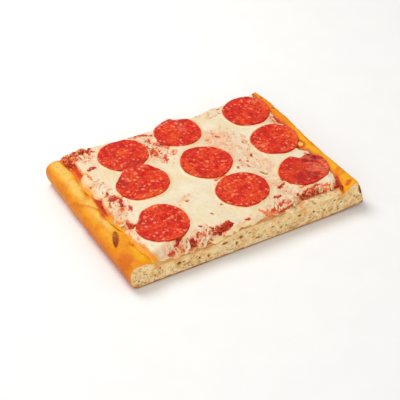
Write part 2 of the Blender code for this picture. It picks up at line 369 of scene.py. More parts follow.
def border_loop(index):
    """The point numbers round a grid, and each one's place round it, with every side worth a quarter."""
    sides = [index[0, :-1], index[:-1, -1], index[-1, :0:-1], index[:0:-1, 0]]
    shares = [(k + np.arange(len(side)) / len(side)) / 4 for k, side in enumerate(sides)]
    return np.concatenate(sides), np.concatenate(shares)


def spaced(length, edge_step, step, edge_reach):
    """Places from 0 to a length, this far apart and closer together near both ends."""
    at = np.linspace(0, length, 4001)
    density = 1 / mix(edge_step, step, smooth(np.minimum(at, length - at) / edge_reach))
    total = np.concatenate([[0], np.cumsum((density[1:] + density[:-1]) / 2 * np.diff(at))])
    return np.interp(np.linspace(0, total[-1], int(math.ceil(total[-1])) + 1), total, at)


SHEET_LENGTH, SHEET_WIDTH = 188.0, 152.0  # a sheet's size, near enough to space out its points
UNDERSIDE_IN = 0.985  # an underside is this much smaller than its top


def sheet_places(edges, edge_step, step, edge_reach):
    """A grid of places between four wandering edges, closer together near them."""
    left, right, front, back = edges
    sizes = SHEET_LENGTH, SHEET_WIDTH
    share_x, share_y = (spaced(size, edge_step, step, edge_reach) / size for size in sizes)
    x = np.zeros((len(share_y), len(share_x)))
    for _ in range(6):
        low_y = front(x)
        y = low_y + (back(x) - low_y) * share_y[:, None]
        low_x = left(y)
        x = low_x + (right(y) - low_x) * share_x[None, :]
    return x, y


def rounded_edge(x, y, edges, radius, front_radius):
    """How full a sheet is, 0 at an edge and 1 from this far in, and how far in from the edges each point is."""
    left, right, front, back = edges
    sides = np.minimum(np.minimum(x - left(y), right(y) - x), back(x) - y)
    from_front = y - front(x)
    t = np.clip(np.minimum(sides / radius, from_front / front_radius), 0, 1)
    return np.sqrt(np.clip(1 - (1 - t) ** 2, 0, 1)), np.minimum(sides, from_front)


def make_sheet(name, top, edges, underside, colour, low_colour, material, slot, node, **values):
    """A piece from a grid of points for its top, with a coarse underside at the heights given."""
    x, y = (places * UNDERSIDE_IN for places in sheet_places(edges, 4.0, 4.0, 5))
    rows, columns = top.shape[:2]
    high, low = grid_index(rows, columns), grid_index(*x.shape, rows * columns)
    wall = zip_loops(*border_loop(high), *border_loop(low))
    points = np.concatenate([top.reshape(-1, 3), np.stack([x, y, underside(x, y)], -1).reshape(-1, 3)])
    shade = np.concatenate([colour.reshape(-1, 3), np.zeros((x.size, 3)) + linear(low_colour)])
    values = {key: np.concatenate([value.ravel(), np.zeros(x.size)]) for key, value in values.items()}
    faces = [quads(high), quads(low, flip=True), wall[:, ::-1]]
    make_piece(name, points, faces, shade, material, slot, (node,), 70, **values)


# ---- Materials ----


class Nodes:
    """A material's node tree, with short ways to add what these materials need."""

    def __init__(self, name):
        self.material = bpy.data.materials.new(name)
        self.material.use_nodes = True
        self.tree = self.material.node_tree

    def add(self, kind, inputs=(), **settings):
        """A node with these settings, and these inputs, each a number, a colour or a node's output."""
        node = self.tree.nodes.new("ShaderNode" + kind)
        for key, value in settings.items():
            setattr(node, key, value)
        for key, value in dict(inputs).items():
            self.value(node.inputs[key], value)
        return node

    def value(self, socket, value):
        if isinstance(value, bpy.types.NodeSocket):
            self.tree.links.new(value, socket)
        elif hasattr(value, "__len__"):
            socket.default_value = [*value, 1.0][: len(socket.default_value)]
        else:
            socket.default_value = value

    def attribute(self, name, output="Fac"):
        return self.add("Attribute", attribute_name=name).outputs[output]

    def place(self):
        return self.add("TexCoord").outputs["Object"]

    def noise(self, size_mm, detail=3.0, roughness=0.55, distortion=0.0):
        """Noise from 0 to 1 whose bumps are about this large."""
        mapping = self.add("Mapping", {"Scale": [1 / (size_mm * MM)] * 3})
        self.value(mapping.inputs["Vector"], self.place())
        settings = {"Scale": 1.0, "Detail": detail, "Roughness": roughness, "Distortion": distortion}
        return self.add("TexNoise", {**settings, "Vector": mapping.outputs["Vector"]}).outputs["Fac"]

    def cells(self, size_mm, warp_mm, flat=False):
        """A cell pattern's Voronoi node, its cells about this large and their edges pushed about."""
        scale = self.add("VectorMath", {"Scale": 1 / (size_mm * MM)}, operation="SCALE")
        source = self.place()
        wobble = self.add("TexNoise", {"Scale": 1 / (size_mm * 0.6 * MM), "Vector": source})
        push = {0: wobble.outputs["Color"], 1: [2 * warp_mm * MM] * 3, 2: source}
        self.value(scale.inputs[0], self.add("VectorMath", push, operation="MULTIPLY_ADD").outputs["Vector"])
        dimensions = "2D" if flat else "3D"
        inputs = {"Scale": 1.0, "Vector": scale.outputs["Vector"]}
        return self.add("TexVoronoi", inputs, voronoi_dimensions=dimensions)

    def specks(self, size_mm, warp_mm, largest):
        """Specks of many sizes, one or none in each cell: 1 inside them and 0 outside."""
        cells = self.cells(size_mm, warp_mm, flat=True)
        chance = self.add("SeparateColor", {"Color": cells.outputs["Color"]})
        radius = self.times(chance.outputs["Red"], largest)
        return self.ramp(self.math("SUBTRACT", cells.outputs["Distance"], radius), -0.10, 0.05, 1.0, 0.0)

    def ramp(self, value, low, high, start=0.0, end=1.0):
        """Carries a value from one range to another, stopping at both ends."""
        inputs = {"From Min": low, "From Max": high, "To Min": start, "To Max": end, "Value": value}
        return self.add("MapRange", inputs, interpolation_type="SMOOTHSTEP").outputs["Result"]

    def math(self, operation, first, second):
        return self.add("Math", {0: first, 1: second}, operation=operation).outputs["Value"]

    def plus(self, first, second):
        return self.math("ADD", first, second)

    def times(self, first, second):
        return self.math("MULTIPLY", first, second)

    def mix(self, share, first, second, blend="MIX"):
        node = self.add("Mix", data_type="RGBA", blend_type=blend)
        sockets = {socket.identifier: socket for socket in node.inputs}
        for key, value in (("Factor_Float", share), ("A_Color", first), ("B_Color", second)):
            self.value(sockets[key], value)
        return next(socket for socket in node.outputs if socket.identifier == "Result_Color")

    def shaded(self, base, shade):
        """A colour made darker or lighter by a number."""
        return self.mix(1.0, base, self.mix(shade, (0, 0, 0), (1, 1, 1)), "MULTIPLY")

    def finish(self, colour, roughness, height, depth_mm, strength, gloss, soft=None):
        """Sets the shader's sockets, with relief of this height, and light that goes this far in, in mm."""
        relief = self.add("Bump", {"Strength": strength, "Distance": depth_mm * MM, "Height": height})
        shader = self.tree.nodes["Principled BSDF"].inputs
        inputs = {"Base Color": colour, "Roughness": roughness, "Normal": relief.outputs["Normal"]}
        if gloss is not None:
            inputs["Specular IOR Level"] = gloss
        if soft:
            weight, *reach = soft
            inputs |= {"Subsurface Weight": weight, "Subsurface Radius": [r * MM for r in reach]}
            inputs["Subsurface Scale"] = 1.0
        for key, value in inputs.items():
            self.value(shader[key], value)
        return self.material


# ---- The dough: a crust that runs round the slice from side to side, and the crumb at its two cuts ----

CUT_BEVEL = 0.35
TOE_IN = 1.5  # how far the flat bottom stops short of the right foot
BLISTERS = (  # x, y, half length, half width, turn in degrees, height
    (-100.1, -39.3, 9.6, 2.3, 65, 0.9), (-91.5, -50.7, 2.6, 2.1, 80, 0.6),
    (-87.8, -60.4, 1.4, 1.1, 0, 0.3), (-86.9, -68.5, 1.2, 1.0, 0, 0.3),
)
DIMPLES = (  # the same, with a depth
    (-95.0, 21.0, 6.0, 2.4, 75, 1.0), (-101.5, 44.0, 9.0, 2.6, 80, 0.7), (-97.5, -12.0, 7.0, 2.0, 70, 0.7),
    (-103.5, -61.0, 6.0, 3.0, 60, 0.7), (97.5, 30.0, 6.0, 2.2, 80, 0.7), (99.0, -38.0, 8.0, 2.4, 84, 0.7),
    (97.0, -72.0, 3.6, 2.2, 20, 0.8),
)
CREASE = ((-108.3, 22.6), (-106.7, 14.4), (-100.8, 8.0), (-94.1, -0.3))
INNER_CREASE = ((-94.3, -6.0), (-93.3, -19.8), (-91.2, -29.6))
BUBBLE = (92.6, -4.4, 93.4, -8.6)
CUT_HOLES = (  # x, z, half width, half height of the larger bubbles at the front cut
    (-64, 9.5, 2.0, 1.6), (-46, 7.5, 1.1, 1.0), (-38, 6, 1.0, 0.9), (-23, 12.5, 3.2, 0.9), (-12, 8, 1.1, 2.1),
    (-8, 13, 2.0, 1.3), (0, 14, 1.6, 0.8), (8, 6, 0.8, 0.8), (22, 11, 1.6, 0.8), (30, 7.5, 1.0, 0.9),
    (47, 12.5, 1.6, 1.0), (61, 11, 1.3, 1.0), (71, 9, 1.3, 1.0), (81, 15, 1.6, 0.6), (85, 19, 1.6, 0.6),
    (88, 11, 1.3, 0.8), (101, 12, 1.1, 0.9), (-93, 10, 0.7, 0.7), (-81, 12, 0.8, 1.1),
)
SOAKED_TOP = (  # x, half width and depth of where oil and sauce have soaked into the crumb at the front
    (-84, 6, 6.0), (-66, 10, 3.2), (-51, 8, 3.6), (-40, 8, 2.4), (20, 8, 4.2), (31, 6, 1.6), (50, 6, 5.0),
    (88, 7, 7.0),
)
GOLD = (241, 166, 44)
YELLOW = (246, 172, 24)
ORANGE = (236, 138, 14)
DEEP_ORANGE = (226, 114, 8)
TOASTED = (204, 92, 12)
PORE_SHADE = (140, 90, 36)


def outline(y):
    """The dough's outline across the slice, once round from the bottom's right end: x, z and part."""
    left, inner, foot = left_side(y), topping_left(y) + 4.0, right_foot(y)
    ridge, shoulder_z = right_crest(y), right_crest_height(y) - RIGHT_SHOULDER_DROP
    far, shoulder_x = ridge - RIGHT_INNER_SLOPE, ridge + RIGHT_SHOULDER_OUT
    foot_z = RIGHT_TOE_RISE + bottom_height(foot, y)
    steps = (
        (foot - TOE_IN, left + LEFT_FOOT_IN, 42), (0, math.pi / 2, 23), (left_crest(y), inner, 13),
        (inner, far, 110),
        (far, ridge, 19), (0, math.pi / 2, 8), (0, 1, 25), (0, 1, 4),
    )
    bottom_x, turn, *tops, shoulder, share, toe = (np.linspace(*ends)[:-1] for ends in steps)
    bulge = (0.9 + CORNER_BULGE * bump(y, -72.5, 5.5)) * np.sin(math.pi * share)
    parts = (
        (bottom_x, bottom_height(bottom_x, y)),
        (left + LEFT_FOOT_IN * (1 - np.sin(turn) ** 0.9), LEFT_BULGE_HEIGHT * (1 - np.cos(turn) ** 0.9)),
        (
            left + LEFT_CREST_IN * (1 - np.cos(turn)),
            mix(LEFT_BULGE_HEIGHT, left_crest_height(y), np.sin(turn)),
        ),
        *((x, dough_top(x, y)) for x in tops),
        (
            ridge + RIGHT_SHOULDER_OUT * np.sin(shoulder),
            right_crest_height(y) - RIGHT_SHOULDER_DROP * (1 - np.cos(shoulder)),
        ),
        (mix(shoulder_x, foot, share) + bulge, mix(shoulder_z, foot_z, share)),
        (foot - TOE_IN * toe**2, mix(foot_z, bottom_height(foot - TOE_IN, y), toe)),
    )
    x, z = (np.concatenate([part[k] for part in parts]) for k in (0, 1))
    return x, z, np.repeat(np.arange(len(parts)), [len(part[0]) for part in parts])


# The numbers of the outline's parts
FLAT_BOTTOM, LEFT_FOOT, LEFT_RISE, BED, INNER_SLOPE, SHOULDER, SIDE, TOE = 0, 1, 2, 4, 5, 6, 7, 8


def left_crust_colour(x, y, z):
    """The thick rim on the left: a pale yellow crest, orange towards its foot and towards the front. The pale
    crest is partly its own colour and partly painted highlight, and the orange low on the outer side is partly
    baked colour and partly painted shade.
    """
    blotch, fine = rough(x * 0.8 + z, y, 15, 51), rough(x + 2 * z, y, 4, 52)
    across, along = warped(x, y, 9, 2.2, 57)
    middle = left_crest(y) + 0.8 + 2.2 * smooth((14 - along) / 22)
    reach = mix(3.4, 5.0, smooth((along + 6) / 20))
    # Painted highlight along the crest, over the crust's own paler colour there
    pale = smooth(1.5 - np.abs(across - middle) / reach) * smooth((along + 34) / 12)
    # Painted shade low on the outer side, over its own baked orange
    lower = smooth((21.8 - z + 2.0 * blotch) / 4.6)
    inner = smooth((across - left_crest(y) - 4.2) / 3.0)
    bright = smooth(1.3 - np.hypot((across + 92.5) / 5.5, (along + 64) / 11) + 0.3 * fine)
    crease = path_distance(across, along, CREASE)
    before = smooth(1 - crease / 7) * (path_distance(x, y - 3, CREASE) > crease)
    return paint(
        GOLD,
        ((244, 200, 100), pale * (0.92 + 0.4 * fine)),
        (ORANGE, 0.72 * smooth((-34 - along) / 16)),
        (ORANGE, 0.9 * lower),
        (DEEP_ORANGE, 0.85 * lower * smooth((10 - along) / 14) * smooth((17 - z) / 6)),
        (DEEP_ORANGE, 0.5 * smooth(blotch * 1.8 - 0.15)),
        (YELLOW, 0.8 * inner),
        (ORANGE, 0.7 * inner * smooth(rough(x, y, 7, 58) * 2.2)),
        ((246, 154, 20), marks(across, along, (-96.5, 27, -95.4, 18, 5.5), (-94, 46, -94, 42, 3.4))),
        ((236, 116, 14), 0.85 * marks(across, along, (-95.6, 1, -94.6, -14, 4.2))),
        ((230, 118, 20), 0.8 * marks(across, along, (-92.4, -52, -90.6, -57, 3.4))),
        ((220, 112, 26), 0.9 * smooth(1.35 - np.hypot((x + 105) / 8.5, (y + 65) / 9.5) + 0.45 * fine)),
        ((252, 184, 38), 0.8 * bright),
        (ORANGE, 0.6 * before),
        # Painted shade in the crease and in the inner crease
        ((214, 112, 24), 0.45 * smooth(1 - crease / 1.2)),
        ((206, 100, 20), 0.6 * smooth(1 - path_distance(across, along, INNER_CREASE) / 1.2)),
        (TOASTED, 0.6 * smooth((6.5 - z + 1.2 * fine) / 5)),
        (TOASTED, 0.35 * smooth(fine * 2.6 - 0.9)),
        ((170, 100, 40), marks(x, y, (-107.6, 22.5, -107.3, 21.5, 1.2)) * smooth((z - 17) / 2)),
    )


def right_crust_colour(x, y, z, part):
    """The thinner rim on the right: a clear orange yellow, browner low on its outside, with painted shade on its
    side just behind the front corner.
    """
    fine = rough(x + 2 * z, y, 4, 62)
    seam = bump(x + 0.9 * fine, topping_right(y) + 0.6, 1.1) * smooth(0.5 + 1.6 * rough(x, y, 9, 69))
    outer = np.where(part == SIDE, smooth((23.5 - z) / 5), 0)
    browned = 0.30 * smooth(0.4 + rough(y, 1.6 * z, 17, 70)) + 0.22 * smooth(fine * 1.5)
    # Painted shade on the side wall just behind the front corner
    corner_shade = np.hypot((y + 78) / 3.0, (z - 18.0) / 6.0) + 0.35 * rough(y, z, 3.0, 60)
    return paint(
        YELLOW,
        (ORANGE, 0.8 * smooth((y - 4 + 14 * rough(x, y, 12, 63)) / 22)),
        (GOLD, 0.6 * bump(x, right_crest(y) + 0.5, 2.4) * smooth((-2 - y) / 12)),
        (DEEP_ORANGE, 0.7 * smooth(rough(x, y, 6, 64) * 2.4 - 0.3)),
        ((238, 118, 38), 0.7 * bump(x, topping_right(y) + 1.0, 2.6)),
        ((196, 70, 16), 0.8 * seam),
        ((230, 152, 62), 0.8 * outer),
        (TOASTED, outer * browned * smooth((20 - z) / 12)),
        ((112, 72, 22), 0.9 * (part >= SHOULDER) * smooth((1.25 - corner_shade) / 0.5)),
        ((206, 146, 76), 0.85 * ((part >= SIDE) * smooth((-62 - y) / 8) * smooth((8 - z) / 3))),
        ((226, 104, 14), smooth(marks(x, y, (96.2, -73.2, 97.8, -72.4, 4.6)) * 1.3)),
        ((160, 82, 26), marks(x, y, (100.2, 49, 101.5, 48, 2.0), (99.0, 66, 99.8, 67, 1.6))),
    )


def crust_colour(x, y, z, part):
    """The baked outside's colour at each point."""
    sides = (left_crust_colour(x, y, z), right_crust_colour(x, y, z, part))
    # The bread under the toppings is pale where it is bare, with small pits darkened by painted shade
    uncovered = smooth((topping_right(y) - x + 1.0) / 3) * smooth((x - topping_left(y) - 2.0) / 3)
    bread = paint(
        (240, 210, 156),
        ((230, 190, 128), smooth(rough(x, y, 3.5, 65) * 2.0)),
        ((236, 168, 100), 0.5 * smooth(rough(x, y, 8, 66) * 2.4 - 0.6)),
        ((236, 146, 74), 0.8 * soaked(x, 1.5 + 1.5 * rough(x, y, 4, 67))),
        ((248, 228, 190), 0.7 * smooth((rough(x, y, 2.6, 71) - 0.05) * 3)),
        ((160, 112, 58), 0.75 * smooth((rough(x, y, 1.5, 68, 2) - 0.34) / 0.2)),
    )
    colour = 0.94 * np.where((x < 0)[..., None], *sides)
    colour = blend(colour, bread, np.isin(part, (BED, INNER_SLOPE)) * uncovered)
    # The bottom is baked brown in the pan
    under = np.isin(part, (FLAT_BOTTOM, TOE)) + 0.8 * np.where(part == LEFT_FOOT, smooth((2.6 - z) / 2.2), 0)
    pan = blend((200, 134, 60), (118, 60, 22), 0.4 * smooth(rough(x, y, 7, 53) * 1.6))
    pan = paint(pan, ((226, 172, 98), 0.6 * smooth(rough(x, y, 23, 54) * 1.8)))
    return blend(colour, pan, np.clip(under, 0, 1))


def make_crust_shell():
    """Grids of the baked outside's points and colours, one row for each station from front to back."""
    stations = FRONT_Y + CUT_BEVEL + spaced(BACK_Y - FRONT_Y - 2 * CUT_BEVEL, 0.5, 0.85, 5)
    x, z, part = (np.array(rows) for rows in zip(*(outline(y) for y in stations)))
    y = stations[:, None] + np.zeros_like(x)
    # Away from the surface, in the plane across the slice
    run_x, run_z = (np.roll(line, -1, 1) - np.roll(line, 1, 1) for line in (x, z))
    length = np.maximum(np.hypot(run_x, run_z), 1e-6)
    out_x, out_z = -run_z / length, run_x / length
    relief = 0.75 * rough(x + 1.5 * z, y, 15, 41) + 0.20 * rough(x + 1.5 * z, y, 2.6, 42) - 0.3
    wrinkle = 0.30 * bump(rough(x + z, y * 0.7, 9, 43), 0, 0.10)
    relief = relief - wrinkle * ((part >= LEFT_RISE) & (part <= SHOULDER))
    for *place, depth in DIMPLES:
        relief = relief - depth * smooth(1.3 - oval(x, y, *place)) * (z > 12)
    found = [oval(x, y, *place) for *place, _ in BLISTERS]
    for away, (*_, height) in zip(found, BLISTERS):
        relief = relief + height * smooth(1.25 - away) * (z > 15)
    for path, depth, reach, low in ((CREASE, 0.4, 2.4, 14), (INNER_CREASE, 0.5, 1.5, 12)):
        relief = relief - depth * smooth(1 - path_distance(x, y, path) / reach) * (z > low) * (x < 0)
    torn = bare_strip(x, y) * np.isin(part, (BED, INNER_SLOPE))
    tatters = 0.45 * rough(x, y, 1.7, 47) + 0.6 * rough(x, y, 6, 48)
    relief = relief + torn * (tatters - 1.3 * smooth(1 - (y - FRONT_Y) / 3.6))
    bubble = segment_distance(x, y, *BUBBLE)[0] + 0.5 * rough(x, y, 2.6, 49)
    relief = relief + 1.0 * smooth(1.2 - bubble / 2.6) * (x > 80)
    under = np.isin(part, (FLAT_BOTTOM, TOE))
    relief = np.where(under, -0.35 - 0.35 * rough(x, y, 6, 44), relief)
    on_top, on_right = z > 15, x > 80
    _, down = segment_distance(x, y, -95.7, -29.9, -104.5, -48.8)
    blister = blend((194, 98, 28), (140, 58, 18), smooth(down * 1.3 - 0.2))
    blister = blister * (1 + 0.35 * rough(x, y, 1.6, 46))[..., None]
    inside = smooth((1.12 - found[0] + 0.12 * rough(x, y, 2, 45)) / 0.25)
    colour = paint(
        blend(crust_colour(x, y, z, part), blister, inside * on_top),
        ((116, 46, 14), 0.9 * bump(found[0], 0.92, 0.24) * on_top),
        ((184, 80, 20), 0.95 * bump(found[1], 1.0, 0.42) * on_top),
        ((156, 70, 18), smooth(1.8 - 1.4 * np.minimum(found[2], found[3])) * on_top),
        ((196, 86, 18), 0.9 * smooth(1.25 - np.abs(bubble - 2.5) / 1.2) * on_right * on_top),
        # Painted highlight on top of the bubble on the right rim
        ((252, 200, 120), 0.85 * smooth(1.3 - bubble / 1.5) * on_right * on_top),
    )
    x = np.clip(x + out_x * relief, LEFT_X + 0.03, RIGHT_X - 0.03)
    z = np.maximum(z + out_z * relief, 0.03)
    return x, y, z, colour, part


def crumb_pores(rng, chain_x, low_z, top_z):
    """Bubbles at a cut, most of them small, and more of them low down: x, z, half width, half height."""
    pores = []
    for _ in range(180):
        x = rng.uniform(LEFT_X + 5, RIGHT_X - 4)
        low, high = np.interp(x, chain_x, low_z) + 1.8, np.interp(x, chain_x, top_z) - 1.5
        if high > low:
            z = low + (high - low) * 0.85 * rng.beta(1.0, 2.0)
            size = 0.34 + 0.9 * rng.beta(1.0, 4.0)
            pores.append((x, z, size * rng.uniform(1.0, 1.9), size * rng.uniform(0.75, 1.1)))
    return pores


def soaked(x, depth):
    """How strongly oil and sauce have soaked in, this far under the front's top edge."""
    places = [bump(x, cx, half) * smooth(1.15 - depth / reach) for cx, half, reach in SOAKED_TOP]
    return np.max(places, axis=0)


def bare_strip(x, y):
    """1 on the strip of torn crumb in front of the toppings at the right, 0 elsewhere."""
    return smooth((x - 20) / 8) * smooth((96 - x) / 4) * smooth((FRONT_Y + 9 - y) / 3)


def make_cut(y_edge, inward, loop_x, loop_z, holes, seed):
    """A cut face inside the outline given: grids of points and colours. Inward is 1 in front, -1 at the back."""
    left, right, size = int(np.argmin(loop_x)), int(np.argmax(loop_x)), len(loop_x)
    over = (left + np.arange((right - left) % size + 1)) % size
    below = (left - np.arange((left - right) % size + 1)) % size
    chain_x = np.linspace(loop_x[left], loop_x[right], 6001)
    top_z, low_z = (
        np.interp(chain_x, np.maximum.accumulate(loop_x[way]), loop_z[way]) for way in (over, below)
    )
    steps = sum(np.hypot(np.diff(chain_x), np.diff(line)) for line in (top_z, low_z))
    travelled = np.concatenate([[0], np.cumsum(steps)])
    column_x = np.interp(np.linspace(0, travelled[-1], 470), travelled, chain_x)
    column_x = np.clip(column_x, loop_x[left] + CUT_BEVEL, loop_x[right] - CUT_BEVEL)
    column_x = mix(column_x, np.linspace(column_x[0], column_x[-1], len(column_x)), 0.15)
    low = np.interp(column_x, chain_x, low_z) + CUT_BEVEL
    high = np.interp(column_x, chain_x, top_z) - CUT_BEVEL
    rise = np.linspace(0, 1, 42)[:, None]
    x = column_x + np.zeros_like(rise)
    z = (low + high) / 2 + (rise * 2 - 1) * np.maximum((high - low) / 2, 0.05)
    # Bubbles, the larger ones first: a dent for each and painted shade in it
    depth = 0.45 + 0.45 * rough(x, z, 8, seed) + 0.30 * rough(x, z, 1.8, seed + 3)
    dark = np.zeros_like(x)
    warp_x, warp_z = warped(x, z, 1.6, 0.28, seed + 5)
    pores = crumb_pores(np.random.default_rng(seed), chain_x, low_z, top_z)
    for number, (cx, cz, wide, tall) in enumerate([*holes, *pores]):
        away = np.hypot((warp_x - cx) / wide, (warp_z - cz) / tall)
        near = away < 1.3
        bowl, small = smooth((1.25 - away[near]) / 0.9), min(wide, tall)
        deep, darkness = 0.7 * small, min(1.0, 0.45 + 0.5 * tall)
        if number < len(holes):
            deep, darkness = min(2.4, 1.5 * small + 0.25), 1.5
        depth[near] += bowl * deep
        depth[near] -= 0.10 * bump(away[near], 1.25, 0.35)
        dark[near] = np.maximum(dark[near], bowl * darkness)
    under = high - z
    depth = np.maximum(depth, 0.02) * smooth(np.minimum(z - low, under) / 0.8) + 0.02
    # Set back under the lip of the cheese, where that comes down over the cut
    lip = smooth((3.4 - under) / 0.8) * smooth((column_x + 88) / 5) * smooth((30 - column_x) / 4)
    depth = np.maximum(depth, 0.28 * lip)
    # Colours: crumb, bubbles darkened with painted shade, and the crust seen edge on round the outside, with
    # painted shade at the right corner and the bottom left corner, and partly painted contact shadow along the
    # very bottom
    mottled, grain = rough(x, z, 3.4, seed + 7), rough(x, z, 1.2, seed + 9)
    rim = (x < -88) | (x > 93)
    moist = smooth(1.25 - under / 3.6 + 0.5 * mottled)
    dark = dark * (1 - 0.6 * moist * ~rim)
    from_low = z - low + 0.5 * rough(x, z, 5, seed + 8)
    cut_corner_shade = smooth(1.3 - np.hypot((x - 106.2 - 0.22 * (20 - z)) / 2.3, (z - 18.6) / 6.4) + 0.25 * mottled)
    from_left = x - loop_x[left]
    colour = paint(
        (250, 211, 147),
        ((253, 230, 186), smooth(mottled * 2.2 + 0.5 * grain) * 0.8),
        ((208, 158, 96), smooth(-mottled * 1.8 - 0.6 * grain) * 0.62),
        ((188, 142, 86), smooth(-grain * 2.4 - 0.4) * 0.55),
        ((250, 232, 196), smooth(grain * 2.4 - 0.5) * 0.4),
        ((246, 212, 152), 0.8 * moist * ~rim),
        ((232, 152, 78), (0.75 if inward > 0 else 0) * soaked(x, under + 2.0 * mottled)),
        # Painted shade in the bubbles, strongest in the larger ones
        ((176, 128, 66), smooth(dark * 1.6) * 0.6),
        (PORE_SHADE, smooth(dark * 1.3 - 0.25) * 0.85),
        ((98, 62, 24), smooth((dark - 1.05) / 0.3) * 0.9),
        # The browned bottom skin; the darkest band at the very bottom is partly browned skin and partly painted
        # contact shadow
        ((222, 148, 68), 0.8 * smooth((1.3 - from_low) / 0.8)),
        ((122, 64, 20), 0.9 * smooth((0.5 - from_low) / 0.4)),
        # Painted shade high on the right corner
        ((150, 106, 44), smooth(cut_corner_shade * 2.4)),
        ((96, 66, 28), 0.95 * smooth(cut_corner_shade * 1.7 - 0.5)),
        ((232, 156, 56), 0.85 * smooth(1.2 - from_left / 1.6)),
        # Painted shade at the bottom left corner, under the left crust
        ((176, 108, 44), 0.5 * smooth(1.2 - np.hypot(from_left - 6, z - 1) / 6)),
        ((242, 168, 52), 0.9 * rim * smooth((1.1 - under + 0.4 * mottled) / 0.9)),
    )
    return np.stack([x, y_edge + inward * depth, z], -1), colour


def places_round(x, z, half):
    """How far round a loop each point is: 0 at the first, and 0.5 at the point whose number is half."""
    gap = np.hypot(np.diff(np.append(x, x[0])), np.diff(np.append(z, z[0])))
    going = np.concatenate([[0], np.cumsum(gap)])
    after = 0.5 + 0.5 * (going[:-1] - going[half]) / (going[-1] - going[half])
    return np.where(np.arange(len(x)) <= half, 0.5 * going[:-1] / going[half], after)


def outline_loop(index, x, z):
    """An outline's point numbers from the leftmost one over the top, and each one's place round it."""
    left, right, size = int(np.argmin(x)), int(np.argmax(x)), len(x)
    order = (left + np.arange(size)) % size
    return index[order], places_round(x[order], z[order], (right - left) % size)


def cut_loop(index, grid):
    """The same for the border of a cut face."""
    half = len(index) // 2
    sides = [index[half:, 0], index[-1, 1:-1], index[::-1, -1], index[0, -2:0:-1], index[:half, 0]]
    path = np.concatenate(sides)
    x, _, z = grid.reshape(-1, 3)[path - index[0, 0]].T
    return path, places_round(x, z, sum(index.shape) - 2)


def make_dough():
    x, y, z, colour, part = make_crust_shell()
    index = grid_index(*x.shape)
    points, colours = [np.stack([x, y, z], -1).reshape(-1, 3)], [colour.reshape(-1, 3)]
    crumb = [(0.9 * bare_strip(x, y) * np.isin(part, (BED, INNER_SLOPE))).ravel()]
    faces = [quads(closed_rows(index), flip=True)]
    start = x.size
    back_holes = [(-cx * 0.93, *sizes) for cx, *sizes in CUT_HOLES]
    cuts = ((0, FRONT_Y, 1, CUT_HOLES, 61), (-1, BACK_Y, -1, back_holes, 62))
    for row, y_edge, inward, holes, seed in cuts:
        grid, grid_colour = make_cut(y_edge, inward, x[row], z[row], holes, seed)
        cut = grid_index(*grid.shape[:2], start)
        wall = zip_loops(*outline_loop(index[row], x[row], z[row]), *cut_loop(cut, grid))
        faces += [quads(cut, flip=inward < 0), wall[:, ::inward]]
        points.append(grid.reshape(-1, 3))
        colours.append(grid_colour.reshape(-1, 3))
        crumb.append(np.ones(cut.size))
        start += cut.size
    points, colours, crumb = (np.concatenate(parts) for parts in (points, colours, crumb))
    make_piece(
        "dough_crust_and_crumb", points, faces, colours, dough_material(), "baked_dough", ("dough",),
        crumb=crumb,
    )


def dough_material():
    nodes = Nodes("dough_look")
    base, crumb = nodes.attribute("tint", "Color"), nodes.attribute("crumb")
    fine, broad = nodes.noise(1.3, detail=5, roughness=0.65), nodes.noise(8.0, detail=3)
    # Tiny pores in the crumb: dents, darkened with painted shade
    pore = nodes.ramp(nodes.cells(1.5, 0.45).outputs["Distance"], 0.12, 0.36, 1.0, 0.0)
    sparse = nodes.ramp(nodes.noise(4.5, detail=2), 0.52, 0.64)
    pore = nodes.times(nodes.times(pore, sparse), crumb)
    shade = nodes.times(nodes.ramp(fine, 0.25, 0.75, 0.90, 1.06), nodes.ramp(broad, 0.3, 0.7, 0.95, 1.04))
    toned = nodes.shaded(base, shade)
    pore_shaded = nodes.mix(nodes.times(pore, 0.45), toned, linear(PORE_SHADE))
    roughness = nodes.plus(nodes.ramp(fine, 0.2, 0.8, 0.34, 0.50), nodes.times(crumb, 0.40))
    height = nodes.plus(nodes.plus(fine, nodes.noise(0.5, detail=2)), nodes.times(pore, -2.2))
    return nodes.finish(pore_shaded, roughness, height, 0.14, 0.8, 0.09, soft=(0.10, 2.0, 1.2, 0.6))


make_dough()

# ---- The pepperoni's outlines, which the cheese and the oil round them need too ----

PEPPERONI_RADIUS = 22.0
PEPPERONI_THICKNESS = 1.6
PEPPERONI_GAP = 0.32
LIFT_SPREAD = 70.0
LIFT_START = 0.35
OVERLAP_RAMP = 9.0
OVERLAP_MARGIN = 4.5

SLICES = {  # middle, size, length and its way, dent (way, depth, half width), lift (way, mm)
    "pepperoni_1": dict(x=-47, y=50.2, size=0.985, long=0.02, turn=40, dent=(225, 0.03, 40), lift=(0, 0)),
    "pepperoni_2": dict(x=-50.8, y=8.8, size=1.01, long=0.03, turn=10, dent=(135, 0.09, 45), lift=(0, 0)),
    "pepperoni_3": dict(x=-61.6, y=-45.4, size=1.02, long=0.03, turn=60, dent=(141, 0.13, 34), lift=(0, 0)),
    "pepperoni_4": dict(x=9, y=57.6, size=0.94, long=0.02, turn=90, dent=(62, 0.07, 22), lift=(85, 2.2)),
    "pepperoni_5": dict(x=9, y=7.6, size=1.01, long=0.02, turn=110, dent=(315, 0.04, 40), lift=(0, 0)),
    "pepperoni_6": dict(x=16, y=-39.4, size=1.01, long=0.02, turn=30, dent=(225, 0.03, 30), lift=(0, 0)),
    "pepperoni_7": dict(x=76.8, y=54.8, size=0.97, long=0.03, turn=80, dent=(305, 0.04, 35), lift=(20, 0.8)),
    "pepperoni_8": dict(x=75.4, y=6.6, size=0.955, long=0.03, turn=60, dent=(180, 0.06, 40), lift=(35, 0.7)),
    "pepperoni_9": dict(
        x=73.9, y=-41.2, size=0.95, long=-0.08, turn=105, dent=(68, 0.26, 26), lift=(35, 1.6)
    ),
}


